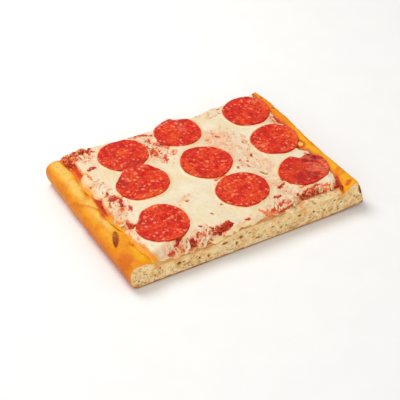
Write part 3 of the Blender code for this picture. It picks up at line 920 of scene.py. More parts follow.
def apart(first, second):
    """How many degrees apart two directions are, from 0 to 180."""
    return np.abs((first - second + 180) % 360 - 180)


def outline_radius(shape, degrees):
    t = np.radians(degrees - shape["turn"])
    direction, depth, half_width = shape["dent"]
    dent = depth * smooth(1 - apart(degrees, direction) / half_width)
    wobble = 0.012 * np.cos(3 * t + 1) + 0.008 * np.cos(5 * t)
    return PEPPERONI_RADIUS * shape["size"] * (1 + shape["long"] * np.cos(2 * t) + wobble - dent)


def outside(shape, x, y):
    """How far each point is outside a slice's outline, in mm, and its direction from the middle."""
    dx, dy = x - shape["x"], y - shape["y"]
    degrees = np.degrees(np.arctan2(dy, dx))
    return np.hypot(dx, dy) - outline_radius(shape, degrees), degrees


def slice_lift(name, x, y):
    """How far a slice's base stands above the cheese."""
    shape = SLICES[name]
    gap, degrees = outside(shape, x, y)
    share = 1 + gap / outline_radius(shape, degrees)
    direction, most = shape["lift"]
    up = most * smooth((share - LIFT_START) / (1 - LIFT_START))
    up = up * smooth(1 - apart(degrees, direction) / LIFT_SPREAD)
    if name == "pepperoni_2":
        over, _ = outside(SLICES["pepperoni_1"], x, y)
        ramp = smooth(1 - (over - OVERLAP_MARGIN) / OVERLAP_RAMP)
        up = up + (PEPPERONI_THICKNESS + PEPPERONI_GAP) * ramp
    return up


# ---- The cheese: where it is thin, where the sauce comes through, and where the oil has run ----

CREAM = (232, 214, 178)
WHITE_CREAM = (237, 226, 200)
OIL = (238, 152, 74)
DARK_SAUCE = (150, 28, 10)
RED_SAUCE = (204, 50, 18)
SALMON = (238, 154, 102)

THIN_CHEESE = (  # x, y, half width, half height, strength of the places where the cheese is thin and pinkish
    (-84, -6, 12, 30, 1), (-84, 18, 11, 18, 0.5), (-75, 62, 14, 20, 0.8), (-19, 50, 12, 30, 1),
    (-14, 24, 9, 10, 0.5), (42, 8, 16, 36, 0.9), (46, -18, 14, 18, 0.8), (47, -46, 10, 26, 0.9),
    (50, 72, 16, 10, 0.8), (34, 36, 14, 12, 0.9), (-50, -75, 36, 11, 1), (-32, -27, 9, 7, 0.35),
    (4, -74, 24, 6, 0.5), (40, -67, 30, 10, 0.9), (76, -66, 26, 8, 0.7), (-88, -45, 6, 14, 0.8),
    (92, 30, 8, 10, 0.6), (-64, 74, 9, 8, 0.6), (66, 68, 30, 14, 0.3),
)
FLECKED_CHEESE = (  # where small flecks of sauce show between the shreds
    (-81, -6, 9, 20, 0.8), (-84, 24, 8, 12, 0.4), (-76, 66, 9, 12, 0.9), (-19, 46, 8, 24, 1),
    (-8, 36, 6, 10, 0.6),
    (46, -48, 7, 12, 0.6), (74, -68, 20, 6, 0.55), (38, -70, 20, 6, 0.65), (-50, -74, 22, 6, 0.9),
    (42, 6, 14, 30, 0.35), (92, 30, 5, 10, 0.9), (-24, 71, 10, 5, 1), (-85, -45, 6, 12, 0.5),
    (-24, -72, 12, 5, 0.8),
)
WHITE_CHEESE = (
    (-78, -68, 8, 6, 0.7), (-80, 53, 7, 8, 0.7), (82, -15, 10, 7, 0.9), (0, -64, 14, 7, 0.5),
    (45, 62, 8, 14, 0.35), (-28, -6, 12, 14, 0.25), (-76, -24, 6, 7, 0.8), (86, -62, 8, 5, 0.7),
)
# Where sauce shows in the cheese: x0, y0, x1, y1 and the width of each mark
DARK_MARKS = (
    (-81.6, 46.8, -75.7, 46.2, 3.2), (-84.5, 13.4, -81.6, 10.4, 2.4), (-81.6, 10.2, -84.6, 7.8, 1.9),
    (-82.5, 3, -77.6, 1.9, 4.2), (-83, 0.4, -88.9, -7.6, 2.6), (-76, 1, -76.2, -3, 2.2),
    (-76.4, -3, -79.4, -10, 2.8), (-73.4, -11.6, -74, -17.2, 2.6), (-85, -28, -84.4, -34.6, 4.4),
    (-86.6, -34.4, -79, -37.2, 4), (-91.6, 8.4, -92.2, -2, 3.6),
    (-64, -71.8, -61.2, -69.6, 2.8), (-61, -69.4, -58, -69.3, 1.9), (-51.6, -73.6, -48.6, -73.2, 4.2),
    (-49, -73.6, -47.8, -76.6, 3.4), (-53, -76, -50, -74.6, 3), (-37.6, -60.4, -36.4, -62.8, 1.9),
    (-36.2, -75, -37.6, -77.2, 2.4), (-36.2, -71.4, -34.4, -69.8, 2.4), (-31.6, -68.4, -29.8, -70.2, 2.8),
    (-29.6, -70.6, -25, -73, 3.6), (-25, -73.2, -20.4, -73, 4.6), (-20.4, -72.6, -15.2, -68.4, 3.2),
    (-20, -73.4, -13.6, -71.8, 3.4), (-0.6, -72.6, 1.4, -73.2, 2.9), (35.6, -68.6, 38.4, -68.9, 2.2),
    (41, -73.6, 47, -75, 1.8), (49, -76.2, 51.4, -74.6, 3.2), (50.6, -66.4, 51.4, -67.8, 1.9),
    (52, -68.6, 54.4, -72, 2.2), (56.4, -69.8, 59.8, -66.4, 3), (94, -58, 93.4, -63, 2.6),
    (93.4, -63, 91, -70, 3.8), (91, -70, 89.8, -76, 2.8), (34, -60.6, 36.6, -60.4, 2.8),
    (39, -60.2, 41, -60, 1.8), (43.6, -51.6, 46.8, -49.6, 3.3), (48.6, -48.6, 50, -47.4, 2.2),
    (-22.4, 53.4, -21.8, 51.8, 2.6), (-11.6, 50.6, -9, 47.6, 4.4), (-8, 46.6, -4.6, 43.6, 3),
    (35.4, 36.4, 36.6, 34.2, 2.2), (-67.9, 69.6, -66.2, 68.9, 2.4), (-70.8, 66, -70.6, 62.6, 1.8),
    (46.4, -3, 47.4, -0.4, 2.2), (-18.6, 57, -18, 55.2, 2.2), (-19, 47.4, -21, 45.2, 2),
)
RED_MARKS = (
    (-25, 72, -20, 70.4, 2.8), (-20, 70, -15.6, 66.4, 3.2), (-15.6, 66, -11.4, 65.2, 2.4),
    (-17.6, 64.4, -18.2, 58, 2), (-19, 47.6, -24.6, 43, 2.2), (-20.4, 45, -20, 40.6, 1.9),
    (-24.4, 42.4, -24.6, 38.6, 1.8), (-23.8, 38.2, -20.2, 39.2, 1.8), (-15.6, 35.4, -17.2, 30.4, 1.9),
    (-17.4, 30, -15.8, 27, 1.7), (-69.6, 76, -70.4, 70.4, 3), (-70.6, 70, -71, 63, 2.2),
    (-86, -22.6, -88.4, -29, 2), (-88.4, -29, -87.4, -34, 2), (-71.2, -75, -68.4, -75, 2.4),
    (-68.6, -75.2, -70.6, -77.2, 2), (-41, -68, -50, -72.4, 1.9), (-42.2, -74, -42.4, -77.2, 2),
    (-48, -73.4, -47.4, -77, 4), (-34.6, -70, -31, -68, 2.8), (-28, -71.4, -21, -73.4, 5),
    (15.8, -75.6, 20.7, -75.4, 2), (20.8, -75.4, 28.6, -71.8, 2.6), (28.6, -71.7, 32.8, -69.4, 3.4),
    (34, -69.4, 39, -67, 2.6), (48, -74.6, 53.6, -70.2, 3.6), (52, -69.6, 52.6, -65.6, 1.7),
    (60.4, -68.6, 66, -69.4, 4), (60.4, -66.6, 70.6, -64.9, 3), (70.6, -64.8, 75.2, -64.2, 2.8),
    (93.2, -64, 91.4, -69, 5), (35, -61.4, 38, -60.2, 3.2), (-12.6, 51.8, -8, 46, 6),
    (-82, 2.2, -78, 2, 5.2), (-84.6, -33, -84.2, -36, 5.6),
)
ORANGE_MARKS = (
    (-91.4, 60, -89.8, 47, 4), (-88, 46.8, -85.4, 41.4, 1.9), (-85.2, 41, -84.7, 35, 1.7),
    (-35, 73.6, -25, 73, 2.2), (-27, 72.6, -14, 67, 2.6), (-9.6, 46.6, -8.4, 41.8, 3.6),
    (-18, 28, -19.6, 23.6, 1.9), (-7.6, 34.6, -9.2, 31.4, 2), (-22.6, 43.6, -20.8, 39.6, 3),
    (4, -16.6, 13, -15.2, 2.8), (-53, -76.6, -61, -77.6, 3.6), (15, -67.8, 15.8, -75.2, 2),
    (18, -77, 27, -76.4, 5.4), (14.8, -77.4, 22, -77.6, 3), (16, -73.6, 21, -71, 1.8),
    (39.4, -70.4, 43.4, -72.4, 3.6), (62, -70.8, 67, -70.6, 3), (75, -64.4, 75, -70.6, 3.2),
    (75, -71.6, 80.6, -70.8, 3.4), (78, -66.4, 88, -68.6, 3), (80.4, -70.8, 88, -70.4, 3.2),
    (50.6, -76.6, 51, -77.8, 2.2), (92.6, 37, 91.8, 28, 3.6), (-66.4, 1.2, -74.6, 0.6, 1.6),
    (90, -12, 92, -13, 2.2), (89, -20, 87, -22, 2), (-79, 77, -77.4, 74, 4.4),
    (-71.6, 74, -69.6, 71, 3.4), (-93, -4, -94.2, -12, 2.4), (30.6, -76, 30.8, -74, 1.8),
    (58, -60.4, 66, -59.6, 2), (58, -71.4, 70, -70.6, 3.6), (84, -71.2, 88, -72.6, 2),
    (55, -74, 54, -70, 2.4),
)
PINK_MARKS = (
    (51, -12.4, 53.6, -13.4, 3), (28, 36, 44, 35, 8), (-30, -28.6, -36, -27.4, 3.4),
    (-16.6, -74.4, -9, -76.6, 1.4), (-9, -76.6, -1, -73.2, 1.4), (2, -73.6, 4, -75.4, 1.6),
    (-42, -64, -46, -70, 2.2), (-76, -76.8, -60, -72, 3), (-46, -75, -38, -70, 2.6),
    (47, -2, 48.4, 7, 2), (-88, -5, -74, -16, 3.2), (-36, -74.6, -26, -77, 2.2),
    (-84, 73, -81, 66, 3), (20, 25, 40, 24, 5), (-26, 34, -16, 40, 4),
    (-92, -8, -90, -20, 3), (-62, -68, -56, -76, 2.4), (33, 24, 40, 20, 3),
)
BROWN_MARKS = (
    (27.8, -11.4, 28.4, -13, 2.5), (36.6, -12.6, 37.2, -15.2, 2.2), (39.6, -7.6, 40.4, -8.8, 2.3),
    (42, -25.6, 45.2, -29.6, 2.2), (51.4, 18.8, 52.4, 16.6, 2.7), (56.8, 71.4, 58.8, 70.6, 1.8),
    (-8.8, -46.4, -8, -47.2, 2.2), (-21.4, -52.4, -20.8, -53.4, 2.2), (-90.8, 26.4, -88.6, 25.4, 2),
    (-85.5, 27.7, -84.4, 22.6, 1.7), (33.8, 74.4, 34.6, 72.2, 2.4), (-15.4, 75.8, -14.4, 74.8, 2),
    (-30, -30, -32, -29.6, 1.6), (33.6, 41, 35, 40.4, 1.6), (48, 5, 49.4, 8, 1.8),
    (25.6, 35.6, 27.4, 34.8, 1.9), (42, 33.4, 43.6, 32, 2), (54, 65.4, 55.6, 64.6, 1.6),
)


def thinness(x, y):
    push_x, push_y = warped(x, y, 11, 5, 71)
    return np.clip(patches(push_x, push_y, THIN_CHEESE) - 0.9 * patches(push_x, push_y, WHITE_CHEESE), 0, 1)


def strands(x, y, rng, count, length, width):
    """Rounded ridges laid at random over the cheese, like melted shreds: their height from 0 to 1."""
    height = np.zeros_like(x)
    for _ in range(count):
        cx, cy = rng.uniform(-95, 95), rng.uniform(FRONT_Y, BACK_Y)
        turn = rng.uniform(0, math.pi)
        half = length * rng.uniform(0.5, 1.2) / 2
        across = width * rng.uniform(0.7, 1.3) / 2
        bend = rng.uniform(-0.5, 0.5) * half
        strength = rng.uniform(0.5, 1)
        near = (np.abs(x - cx) < half + across) & (np.abs(y - cy) < half + across)
        if not near.any():
            continue
        dx, dy = x[near] - cx, y[near] - cy
        along = dx * math.cos(turn) + dy * math.sin(turn)
        aside = -dx * math.sin(turn) + dy * math.cos(turn) - bend * (along / half) ** 2
        shape = smooth(1 - (aside / across) ** 2) * smooth((1 - np.abs(along) / half) * 3)
        height[near] = np.maximum(height[near], shape * strength)
    return height


def shred_relief(x, y):
    """Half-melted shreds of cheese, clearer where the cheese is thin."""
    rng = np.random.default_rng(81)
    long_ones = strands(x, y, rng, 560, 13, 2.3)
    return np.maximum(long_ones, 0.8 * strands(x, y, rng, 620, 6, 1.6))


def sauce_marks(x, y):
    """The strength of each kind of sauce mark at each point."""
    push_x, push_y = warped(x, y, 2.6, 1.7, 91)
    ragged = 0.6 * rough(x, y, 1.5, 92)
    kinds = {
        "dark": DARK_MARKS, "red": RED_MARKS, "orange": ORANGE_MARKS, "pink": PINK_MARKS, "brown": BROWN_MARKS,
    }
    found = {}
    for kind, places in kinds.items():
        strength = marks(push_x, push_y, *places)
        found[kind] = np.clip(strength + ragged * bump(strength, 0.5, 0.6), 0, 1)
    flecked = patches(push_x, push_y, FLECKED_CHEESE)
    for kind, seed, scarce in (("orange", 96, 0.96), ("red", 98, 1.06), ("brown", 97, 1.08)):
        fleck = smooth((rough(x, y, 2.1, seed, 2) + 0.62 * flecked - scarce + 0.18) / 0.14)
        found[kind] = np.maximum(found[kind], fleck)
    # Thin veins of sauce between the shreds
    ridge = smooth(1 - np.abs(rough(push_x, push_y, 4.6, 94)) / 0.10)
    ridge = ridge * smooth((rough(x, y, 5.5, 93) + 0.15) / 0.3)
    found["red"] = np.maximum(found["red"], 0.62 * ridge * smooth((flecked - 0.45) / 0.4))
    return found


def cheese_relief(x, y, thin, shreds, through):
    """The cheese's fine relief above its level, in mm."""
    lumps = 0.42 * rough(x, y, 15, 101) + 0.22 * rough(x, y, 5.5, 102)
    relief = lumps + 0.62 * shreds * mix(0.22, 1.0, thin) - 0.25 * thin
    relief = relief - 0.45 * np.maximum(through["dark"], np.maximum(through["red"], 0.7 * through["orange"]))
    for shape in SLICES.values():
        gap, _ = outside(shape, x, y)
        # The cheese has crept up against each slice, and lies lower under it
        relief = relief + 0.7 * bump(gap, 0.4, 2.6) * smooth((gap + 0.6) / 0.9) - 0.6 * smooth(-gap / 1.5)
    return relief - 0.12


CHEESE_LEFT = (  # y, x of where the cheese begins at the left; the sauce and the oily crust show outside it
    (-77, -82.4), (-70, -85.2), (-62, -86.6), (-54, -88.2), (-46, -89.8), (-38, -91.2), (-30, -88.4),
    (-22, -90.2),
    (-16, -90.8), (-10, -92), (-4, -91.4), (2, -90.6), (8, -88.8), (14, -93), (20, -92), (26, -92.4),
    (32, -93), (38, -92.6), (42, -90.6), (45, -87.2), (56, -86.8), (62, -85.6), (77, -85),
)


def cheese_edge_left(y):
    """Where the cheese begins at the left, with gaps where the sauce under it shows."""
    edge = np.interp(y, *np.transpose(CHEESE_LEFT))
    return edge + 0.6 * noise(y, 3, 4, 111) + 0.6 * noise(y, 9, 1.8, 112)


def cheese_edge_right(y):
    bare = 3.0 * bump(y, 32, 7) + 2.6 * bump(y, -68, 9) + 1.4 * bump(y, -14, 7)
    return topping_right(y) - 0.3 - bare + 0.9 * noise(y, 13, 5, 113) + 0.4 * noise(y, 19, 2, 114)


def cheese_edge_front(x):
    wander = 0.9 * noise(x, 23, 6, 115) + 0.6 * noise(x, 29, 2.4, 116)
    set_back = 1.2 * smooth((x - 45) / 12) * bump(x, 62, 22)
    return np.maximum(topping_front(x) + 0.7 + wander + set_back, FRONT_Y + 0.15)


def cheese_edge_back(x):
    wander = 0.8 * noise(x, 33, 6, 117) + 0.5 * noise(x, 39, 2.4, 118)
    edge = BACK_Y - 1.0 - np.abs(wander) - 3.0 * bump(x, 34, 5) - 1.5 * bump(x, -84, 10)
    return np.minimum(edge, BACK_Y - 0.2)


def cheese_underside(x, y):
    return sauce_top(x, y) - 0.6


def make_cheese():
    edges = (cheese_edge_left, cheese_edge_right, cheese_edge_front, cheese_edge_back)
    x, y = sheet_places(edges, 0.3, 0.62, 5)
    thin, shreds, through = thinness(x, y), shred_relief(x, y), sauce_marks(x, y)
    relief = cheese_relief(x, y, thin, shreds, through)
    side_radius = 1.7 + 3.6 * bump(y, 24, 26) * (x < 0)
    full, away = rounded_edge(x, y, edges, side_radius, mix(3.8, 7.5, smooth((x - 22) / 14)))
    # At the front the cheese has been pressed down over the cut, to an uneven depth
    lip = smooth((28 - x) / 8) * smooth((x + 86) / 5)
    over_cut = smooth(1 - (y - FRONT_Y) / 1.2) * lip
    pressed = 2.2 + 0.9 * noise(x, 3, 5.5, 121) + 0.5 * noise(x, 5, 1.9, 122)
    foot = sauce_top(x, y) - 0.5 - over_cut * pressed
    # Further right it ends on bare crumb, and thins out down to it
    foot = foot - 1.5 * smooth((x - 22) / 14) * smooth(1 - (y - cheese_edge_front(x)) / 2.5)
    top = foot + (cheese_level(x, y) + relief - foot) * full
    top = np.maximum(top, dough_top(x, y) - 3.2)
    y = y + 0.5 * lip * (np.arange(len(y)) == 0)[:, None]
    colour = cheese_colour(x, y, thin, shreds, through, away)
    make_sheet(
        "melted_cheese", np.stack([x, y, top], -1), edges, cheese_underside, colour, CREAM, cheese_material(),
        "melted_cheese", "cheese", thin=thin,
        wet=np.maximum(through["dark"], np.maximum(through["red"], through["orange"])),
    )


def cheese_colour(x, y, thin, shreds, through, away):
    middle, fine = rough(x, y, 5, 132), rough(x, y, 1.8, 133)
    broad = rough(x, y, 17, 131)
    deep = thin * smooth((middle - 0.12) * 3.0) * (1 - smooth(shreds * 2.2))
    colour = paint(
        CREAM,
        ((230, 208, 156), 0.45 * smooth(broad * 1.8)),
        (WHITE_CREAM, 0.6 * smooth(-broad * 1.6) + 0.35 * patches(x, y, WHITE_CHEESE)),
        ((232, 192, 160), thin * (1 - 0.75 * smooth(shreds * 1.6)) * (0.75 + 0.4 * middle)),
        ((224, 152, 116), 0.5 * deep),
        ((214, 158, 98), 0.30 * thin * smooth((fine - 0.35) * 4) * (1 - shreds)),
    )
    for shape in SLICES.values():
        gap, degrees = outside(shape, x, y)
        reach = 2.4 + 1.3 * noise(degrees / 12, shape["x"], 1, 134)
        uneven = 0.35 + 0.65 * smooth(0.5 + 1.4 * noise(degrees / 18, shape["y"], 1, 137))
        colour = paint(
            colour,
            ((240, 186, 122), 0.75 * (smooth(1 - gap / np.maximum(reach, 0.9)) * (gap > -1)) * uneven),
            (OIL, 0.9 * smooth(1 - gap / np.maximum(0.5 * reach, 0.5)) * (gap > -1) * uneven),
            (
                (238, 192, 118),
                0.5 * (smooth(1 - gap / 4.5) * smooth(noise(degrees / 25, shape["y"], 1, 135) * 1.5)),
            ),
        )
    brown, orange = through["brown"], through["orange"]
    colour = paint(
        colour,
        (SALMON, 0.55 * through["pink"]),
        ((240, 186, 126), 0.8 * smooth(brown / 0.4)),
        ((168, 92, 34), 0.8 * smooth((brown - 0.45) / 0.5)),
        ((232, 140, 88), smooth(orange / 0.45)),
        ((236, 112, 36), smooth((orange - 0.35) / 0.5)),
    )
    for strength, deepest in ((through["red"], RED_SAUCE), (through["dark"], DARK_SAUCE)):
        colour = paint(
            colour,
            (SALMON, 0.8 * smooth(strength / 0.28)),
            ((222, 78, 30), smooth((strength - 0.18) / 0.28)),
            (deepest, smooth((strength - 0.42) / 0.35) * (0.85 + 0.5 * fine)),
        )
    from_left, from_front = x - cheese_edge_left(y), y - cheese_edge_front(x)
    # Small orange pools of oil by the crust at the front left corner
    pools = (x < -70) * smooth((-52 - y) / 8) * smooth(1.2 - from_left / 3.0)
    # At an edge the sauce soaks into the cheese, and low down it is gummy and beige
    soak = smooth(1 - away / 1.4) * smooth(0.2 + rough(x, y, 6, 136) * 1.8)
    stained = (1 - (x < -60) * smooth((-38 - y) / 10)) * (1 - smooth((-60 - y) / 10))
    beige = smooth(1.15 - (from_front + 0.9 * middle) / 2.8) * smooth((x + 84) / 6)
    bare = 1 - np.maximum(orange, np.maximum(through["red"], through["dark"]))
    # At the left the oil from the crust has stained the cheese yellow and peach
    oily = smooth(1.2 - (from_left + 2.0 * middle) / 7.0) * smooth((y + 50) / 10) * smooth((50 - y) / 6)
    return paint(
        colour,
        ((244, 150, 60), 0.85 * pools * smooth(0.3 + 2.2 * rough(x, y, 3.5, 138))),
        ((230, 138, 78), 0.7 * soak * stained),
        ((248, 216, 158), 0.92 * beige * bare),
        # Painted light: the front edge of the cheese, where it comes down over the cut, is lightened to offset
        # the shade on it
        ((255, 228, 172), 0.7 * smooth(1.3 - from_front / 0.8) * smooth((x + 84) / 6)),
        ((238, 158, 86), 0.8 * soaked(x, from_front + 0.5 + middle) * (1 - 0.4 * bare)),
        ((240, 182, 106), 0.72 * oily * (0.6 + 0.55 * bump(y, 28, 22))),
        ((240, 160, 62), 0.8 * smooth(1 - from_left / 1.8) * smooth((66 - y) / 10)),
    )


def cheese_material():
    nodes = Nodes("cheese_look")
    base, wet, thin = nodes.attribute("tint", "Color"), nodes.attribute("wet"), nodes.attribute("thin")
    fine = nodes.noise(1.4, detail=4, roughness=0.6)
    curd = nodes.noise(4.0, detail=4, roughness=0.55, distortion=0.6)
    shade = nodes.times(nodes.ramp(fine, 0.25, 0.75, 0.96, 1.03), nodes.ramp(curd, 0.3, 0.7, 0.97, 1.02))
    toned = nodes.shaded(base, shade)
    fleck = nodes.ramp(nodes.cells(3.4, 0.9).outputs["Distance"], 0.10, 0.24, 1.0, 0.0)
    fleck = nodes.times(fleck, nodes.ramp(nodes.noise(9.0, detail=2), 0.50, 0.66))
    fleck = nodes.times(nodes.times(fleck, thin), 0.6)
    coloured = nodes.mix(fleck, toned, linear((206, 104, 66)))
    roughness = nodes.plus(nodes.ramp(curd, 0.25, 0.75, 0.30, 0.46), nodes.times(wet, -0.12))
    height = nodes.plus(nodes.times(fine, 0.4), curd)
    return nodes.finish(coloured, roughness, height, 0.22, 0.7, 0.4, soft=(0.05, 0.8, 0.4, 0.25))


make_cheese()

# ---- The sauce: it shows in the gaps at the cheese's edges ----


def sauce_edge_left(y):
    return topping_left(y) - 0.2 + 0.7 * noise(y, 51, 4, 141) + 1.1 * smooth((y - 40) / 6)


def sauce_edge_right(y):
    return topping_right(y) + 0.2 + 0.7 * noise(y, 53, 4, 142)


def sauce_edge_front(x):
    return np.maximum(topping_front(x) + 0.4 + 0.9 * noise(x, 55, 4.5, 143), FRONT_Y + 0.12)


def sauce_edge_back(x):
    return np.minimum(BACK_Y - 0.7 + 0.5 * noise(x, 57, 4.5, 144), BACK_Y - 0.12)


def sauce_underside(x, y):
    return dough_top(x, y) - 0.6


def make_sauce():
    edges = (sauce_edge_left, sauce_edge_right, sauce_edge_front, sauce_edge_back)
    x, y = sheet_places(edges, 0.35, 3.2, 16)
    full, away = rounded_edge(x, y, edges, 1.1, 1.1)
    lumps = 0.5 * rough(x, y, 4.5, 151) + 0.3 * rough(x, y, 1.8, 152)
    base = dough_top(x, y) - 0.5
    top = base + (sauce_top(x, y) + 0.15 + lumps * (0.4 + 0.6 * smooth(away / 5)) - base) * full
    pulp, fibres = rough(x, y, 3.4, 153), smooth((rough(x, y, 1.5, 154, 2) - 0.3) / 0.25)
    at_left = x < -80
    near_crust = smooth(1.2 - (x - sauce_edge_left(y) + 0.8 * pulp) / 2.6) * at_left
    right_end = smooth((x - 80) / 4) * smooth((-54 - y) / 6)
    # Along the left crust it is more orange the nearer the front
    colour = paint(
        RED_SAUCE,
        (DARK_SAUCE, 0.8 * smooth(0.25 + pulp * 1.6)),
        ((222, 92, 26), 0.8 * smooth(1 - away / 1.5) + 0.5 * smooth(-pulp * 2 - 0.2)),
        ((230, 76, 12), 0.85 * bump(y, 52, 11) * at_left * (0.7 + 0.8 * pulp)),
        ((238, 112, 18), 0.9 * near_crust * smooth((y - 40) / 6)),
        (blend((168, 44, 22), (196, 70, 34), smooth(pulp)), 0.9 * right_end),
        ((150, 30, 10), 0.7 * fibres * smooth((y - 40) / 6) * at_left),
        ((232, 116, 20), 0.85 * bump(y, -14, 9) * at_left),
        ((240, 160, 36), 0.95 * smooth((-9 - y) / 6) * at_left),
        ((240, 168, 60), 0.95 * smooth(1.5 - np.abs(y - 29) / 12) * at_left),
        ((226, 178, 110), 0.8 * smooth((-76 - y) / 1.5)),
    )
    make_sheet(
        "tomato_sauce", np.stack([x, y, top], -1), edges, sauce_underside, colour, RED_SAUCE,
        sauce_material(), "tomato_sauce", "sauce",
    )


def sauce_material():
    nodes = Nodes("sauce_look")
    base = nodes.attribute("tint", "Color")
    fine, pulp = nodes.noise(1.2, detail=4, roughness=0.6), nodes.noise(3.0, detail=3)
    toned = nodes.shaded(base, nodes.ramp(fine, 0.25, 0.75, 0.82, 1.15))
    return nodes.finish(toned, nodes.ramp(pulp, 0.3, 0.7, 0.24, 0.42), nodes.plus(fine, pulp), 0.3, 0.8, 0.22)


make_sauce()

# ---- Pepperoni ----

# Painted highlights: the sheen patches on the slices and the streaks on pepperoni_9. Dark patches are darker
# meat, and painted shade where pepperoni_2 lies over pepperoni_1 and on the raised fold of pepperoni_9.
PEPPERONI_PAINTED_HIGHLIGHT = (232, 112, 84)
TONES = {"orange": (238, 92, 18), "dark": (150, 14, 16), "painted_highlight": PEPPERONI_PAINTED_HIGHLIGHT}
SUNK_IN = 0.42
SLICE_TONES = {  # what is orange, dark or painted highlight on each slice: kind, x, y, half width, half height, strength
    "pepperoni_1": (
        ("orange", -46, 53, 6, 6, 0.7), ("dark", -45, 34, 14, 6, 0.5), ("painted_highlight", -57, 47, 5, 4, 0.3),
    ),
    "pepperoni_2": (
        ("orange", -52, -9, 16, 5, 0.9), ("orange", -55, 16, 7, 8, 0.5), ("dark", -65, 15, 5, 7, 0.6),
        ("painted_highlight", -40, 26, 6, 4, 0.6), ("dark", -46, 31, 10, 3, 0.7), ("orange", -31, 12, 3, 9, 0.5),
    ),
    "pepperoni_3": (
        ("orange", -62, -24, 7, 5, 0.8), ("dark", -76, -38, 7, 4, 0.6), ("painted_highlight", -53, -22, 2, 2, 0.5),
        ("orange", -42, -44, 3, 10, 0.5),
    ),
    "pepperoni_4": (
        ("orange", 10, 77, 6, 3, 0.7), ("orange", 5, 53, 7, 5, 0.6), ("painted_highlight", 15, 62, 4, 9, 0.6),
    ),
    "pepperoni_5": (
        ("orange", -8, 0, 4, 13, 0.8), ("orange", 2, -10, 8, 4, 0.3), ("dark", 10, 27, 4, 3, 0.5),
    ),
    "pepperoni_6": (
        ("orange", 24, -56, 8, 4, 0.4), ("dark", 36, -26, 4, 6, 0.4), ("orange", 3, -34, 6, 12, 0.3),
    ),
    "pepperoni_7": (
        ("painted_highlight", 89, 65, 4, 4, 0.8), ("orange", 96, 58, 3, 14, 0.8), ("dark", 66, 70, 6, 6, 0.3),
    ),
    "pepperoni_8": (
        ("orange", 92, 4, 6, 14, 0.8), ("painted_highlight", 58.5, 5, 2, 4, 0.5), ("orange", 78, -10, 9, 4, 0.3),
    ),
    "pepperoni_9": (
        ("dark", 74, -42, 20, 20, 0.25), ("dark", 87, -30, 9, 8, 1.2), ("dark", 74, -50, 16, 7, 0.6),
        ("painted_highlight", 86, -44, 9, 4, 0.7), ("dark", 92, -36, 3, 12, 0.5), ("painted_highlight", 90, -48, 4, 6, 0.6),
    ),
}
FATTINESS = {"pepperoni_9": 0.6}
RINGS = 46
SECTORS = 180


def make_pepperoni(name, shape, material, seed):
    degrees = np.linspace(0, 360, SECTORS, endpoint=False)
    radius = outline_radius(shape, degrees) + 0.34 * noise(degrees / 9, seed, 1, 161)
    # Rings from near the middle out over the top, round the rim and back underneath, and how far down each is
    share = np.linspace(0, 1, RINGS + 1)[1:] ** 0.85
    rim_in = [1 - step / PEPPERONI_RADIUS for step in (0.45, 0.15, 0, 0, 0.1)]
    scale = np.concatenate([share * rim_in[0], rim_in[1:], [0.96, 0.6]])[:, None]
    drop = np.concatenate([np.zeros(RINGS), [0.14, 0.45, 0.95, 1.5, 1.75, 1.75]])[:, None]
    x = shape["x"] + scale * radius * np.cos(np.radians(degrees))
    y = shape["y"] + scale * radius * np.sin(np.radians(degrees))
    level = cheese_level(x, y) + slice_lift(name, x, y) + PEPPERONI_GAP
    grain = 0.20 * rough(x, y, 6.5, seed) + 0.11 * rough(x, y, 1.9, seed + 3)
    from_rim = (1 - scale) * radius
    curl = 0.30 * smooth(1 - from_rim / 3.0) * (0.6 + 0.8 * noise(degrees / 28, seed, 1, 162))
    grain = grain + curl - 0.28
    if name == "pepperoni_9":
        fold = 0.55 * np.sin((x + 0.55 * y) / 3.1) * smooth((x - 60) / 14) * smooth((from_rim - 1) / 5)
        grain = grain + fold - 0.35
    if name == "pepperoni_4":
        grain = grain - 0.5 * bump((x - 12) + 0.25 * (y - 60), 0, 4) * smooth((y - 46) / 14)
    z = level + PEPPERONI_THICKNESS - SUNK_IN + grain * (drop < 1.4) - drop
    y = np.minimum(y, CAD_HIGH_Y - 0.1)
    colour = pepperoni_colour(name, x, y, from_rim, drop, seed)
    middle = [[shape["x"], shape["y"], z[0].mean()], [shape["x"], shape["y"], z[-1].mean()]]
    ring = closed_rows(grid_index(*x.shape))
    faces = [quads(ring.T), fan(x.size, ring[0, :-1], ring[0, 1:])]
    faces.append(fan(x.size + 1, ring[-1, 1:], ring[-1, :-1]))
    points = np.concatenate([np.stack([x, y, z], -1).reshape(-1, 3), middle])
    shade = np.concatenate([colour.reshape(-1, 3), colour[0, :1], colour[-1, :1]])
    fat = np.full(len(shade), FATTINESS.get(name, 1.0))
    make_piece(name + "_slice", points, faces, shade, material, "pepperoni", (name,), 75, fat=fat)


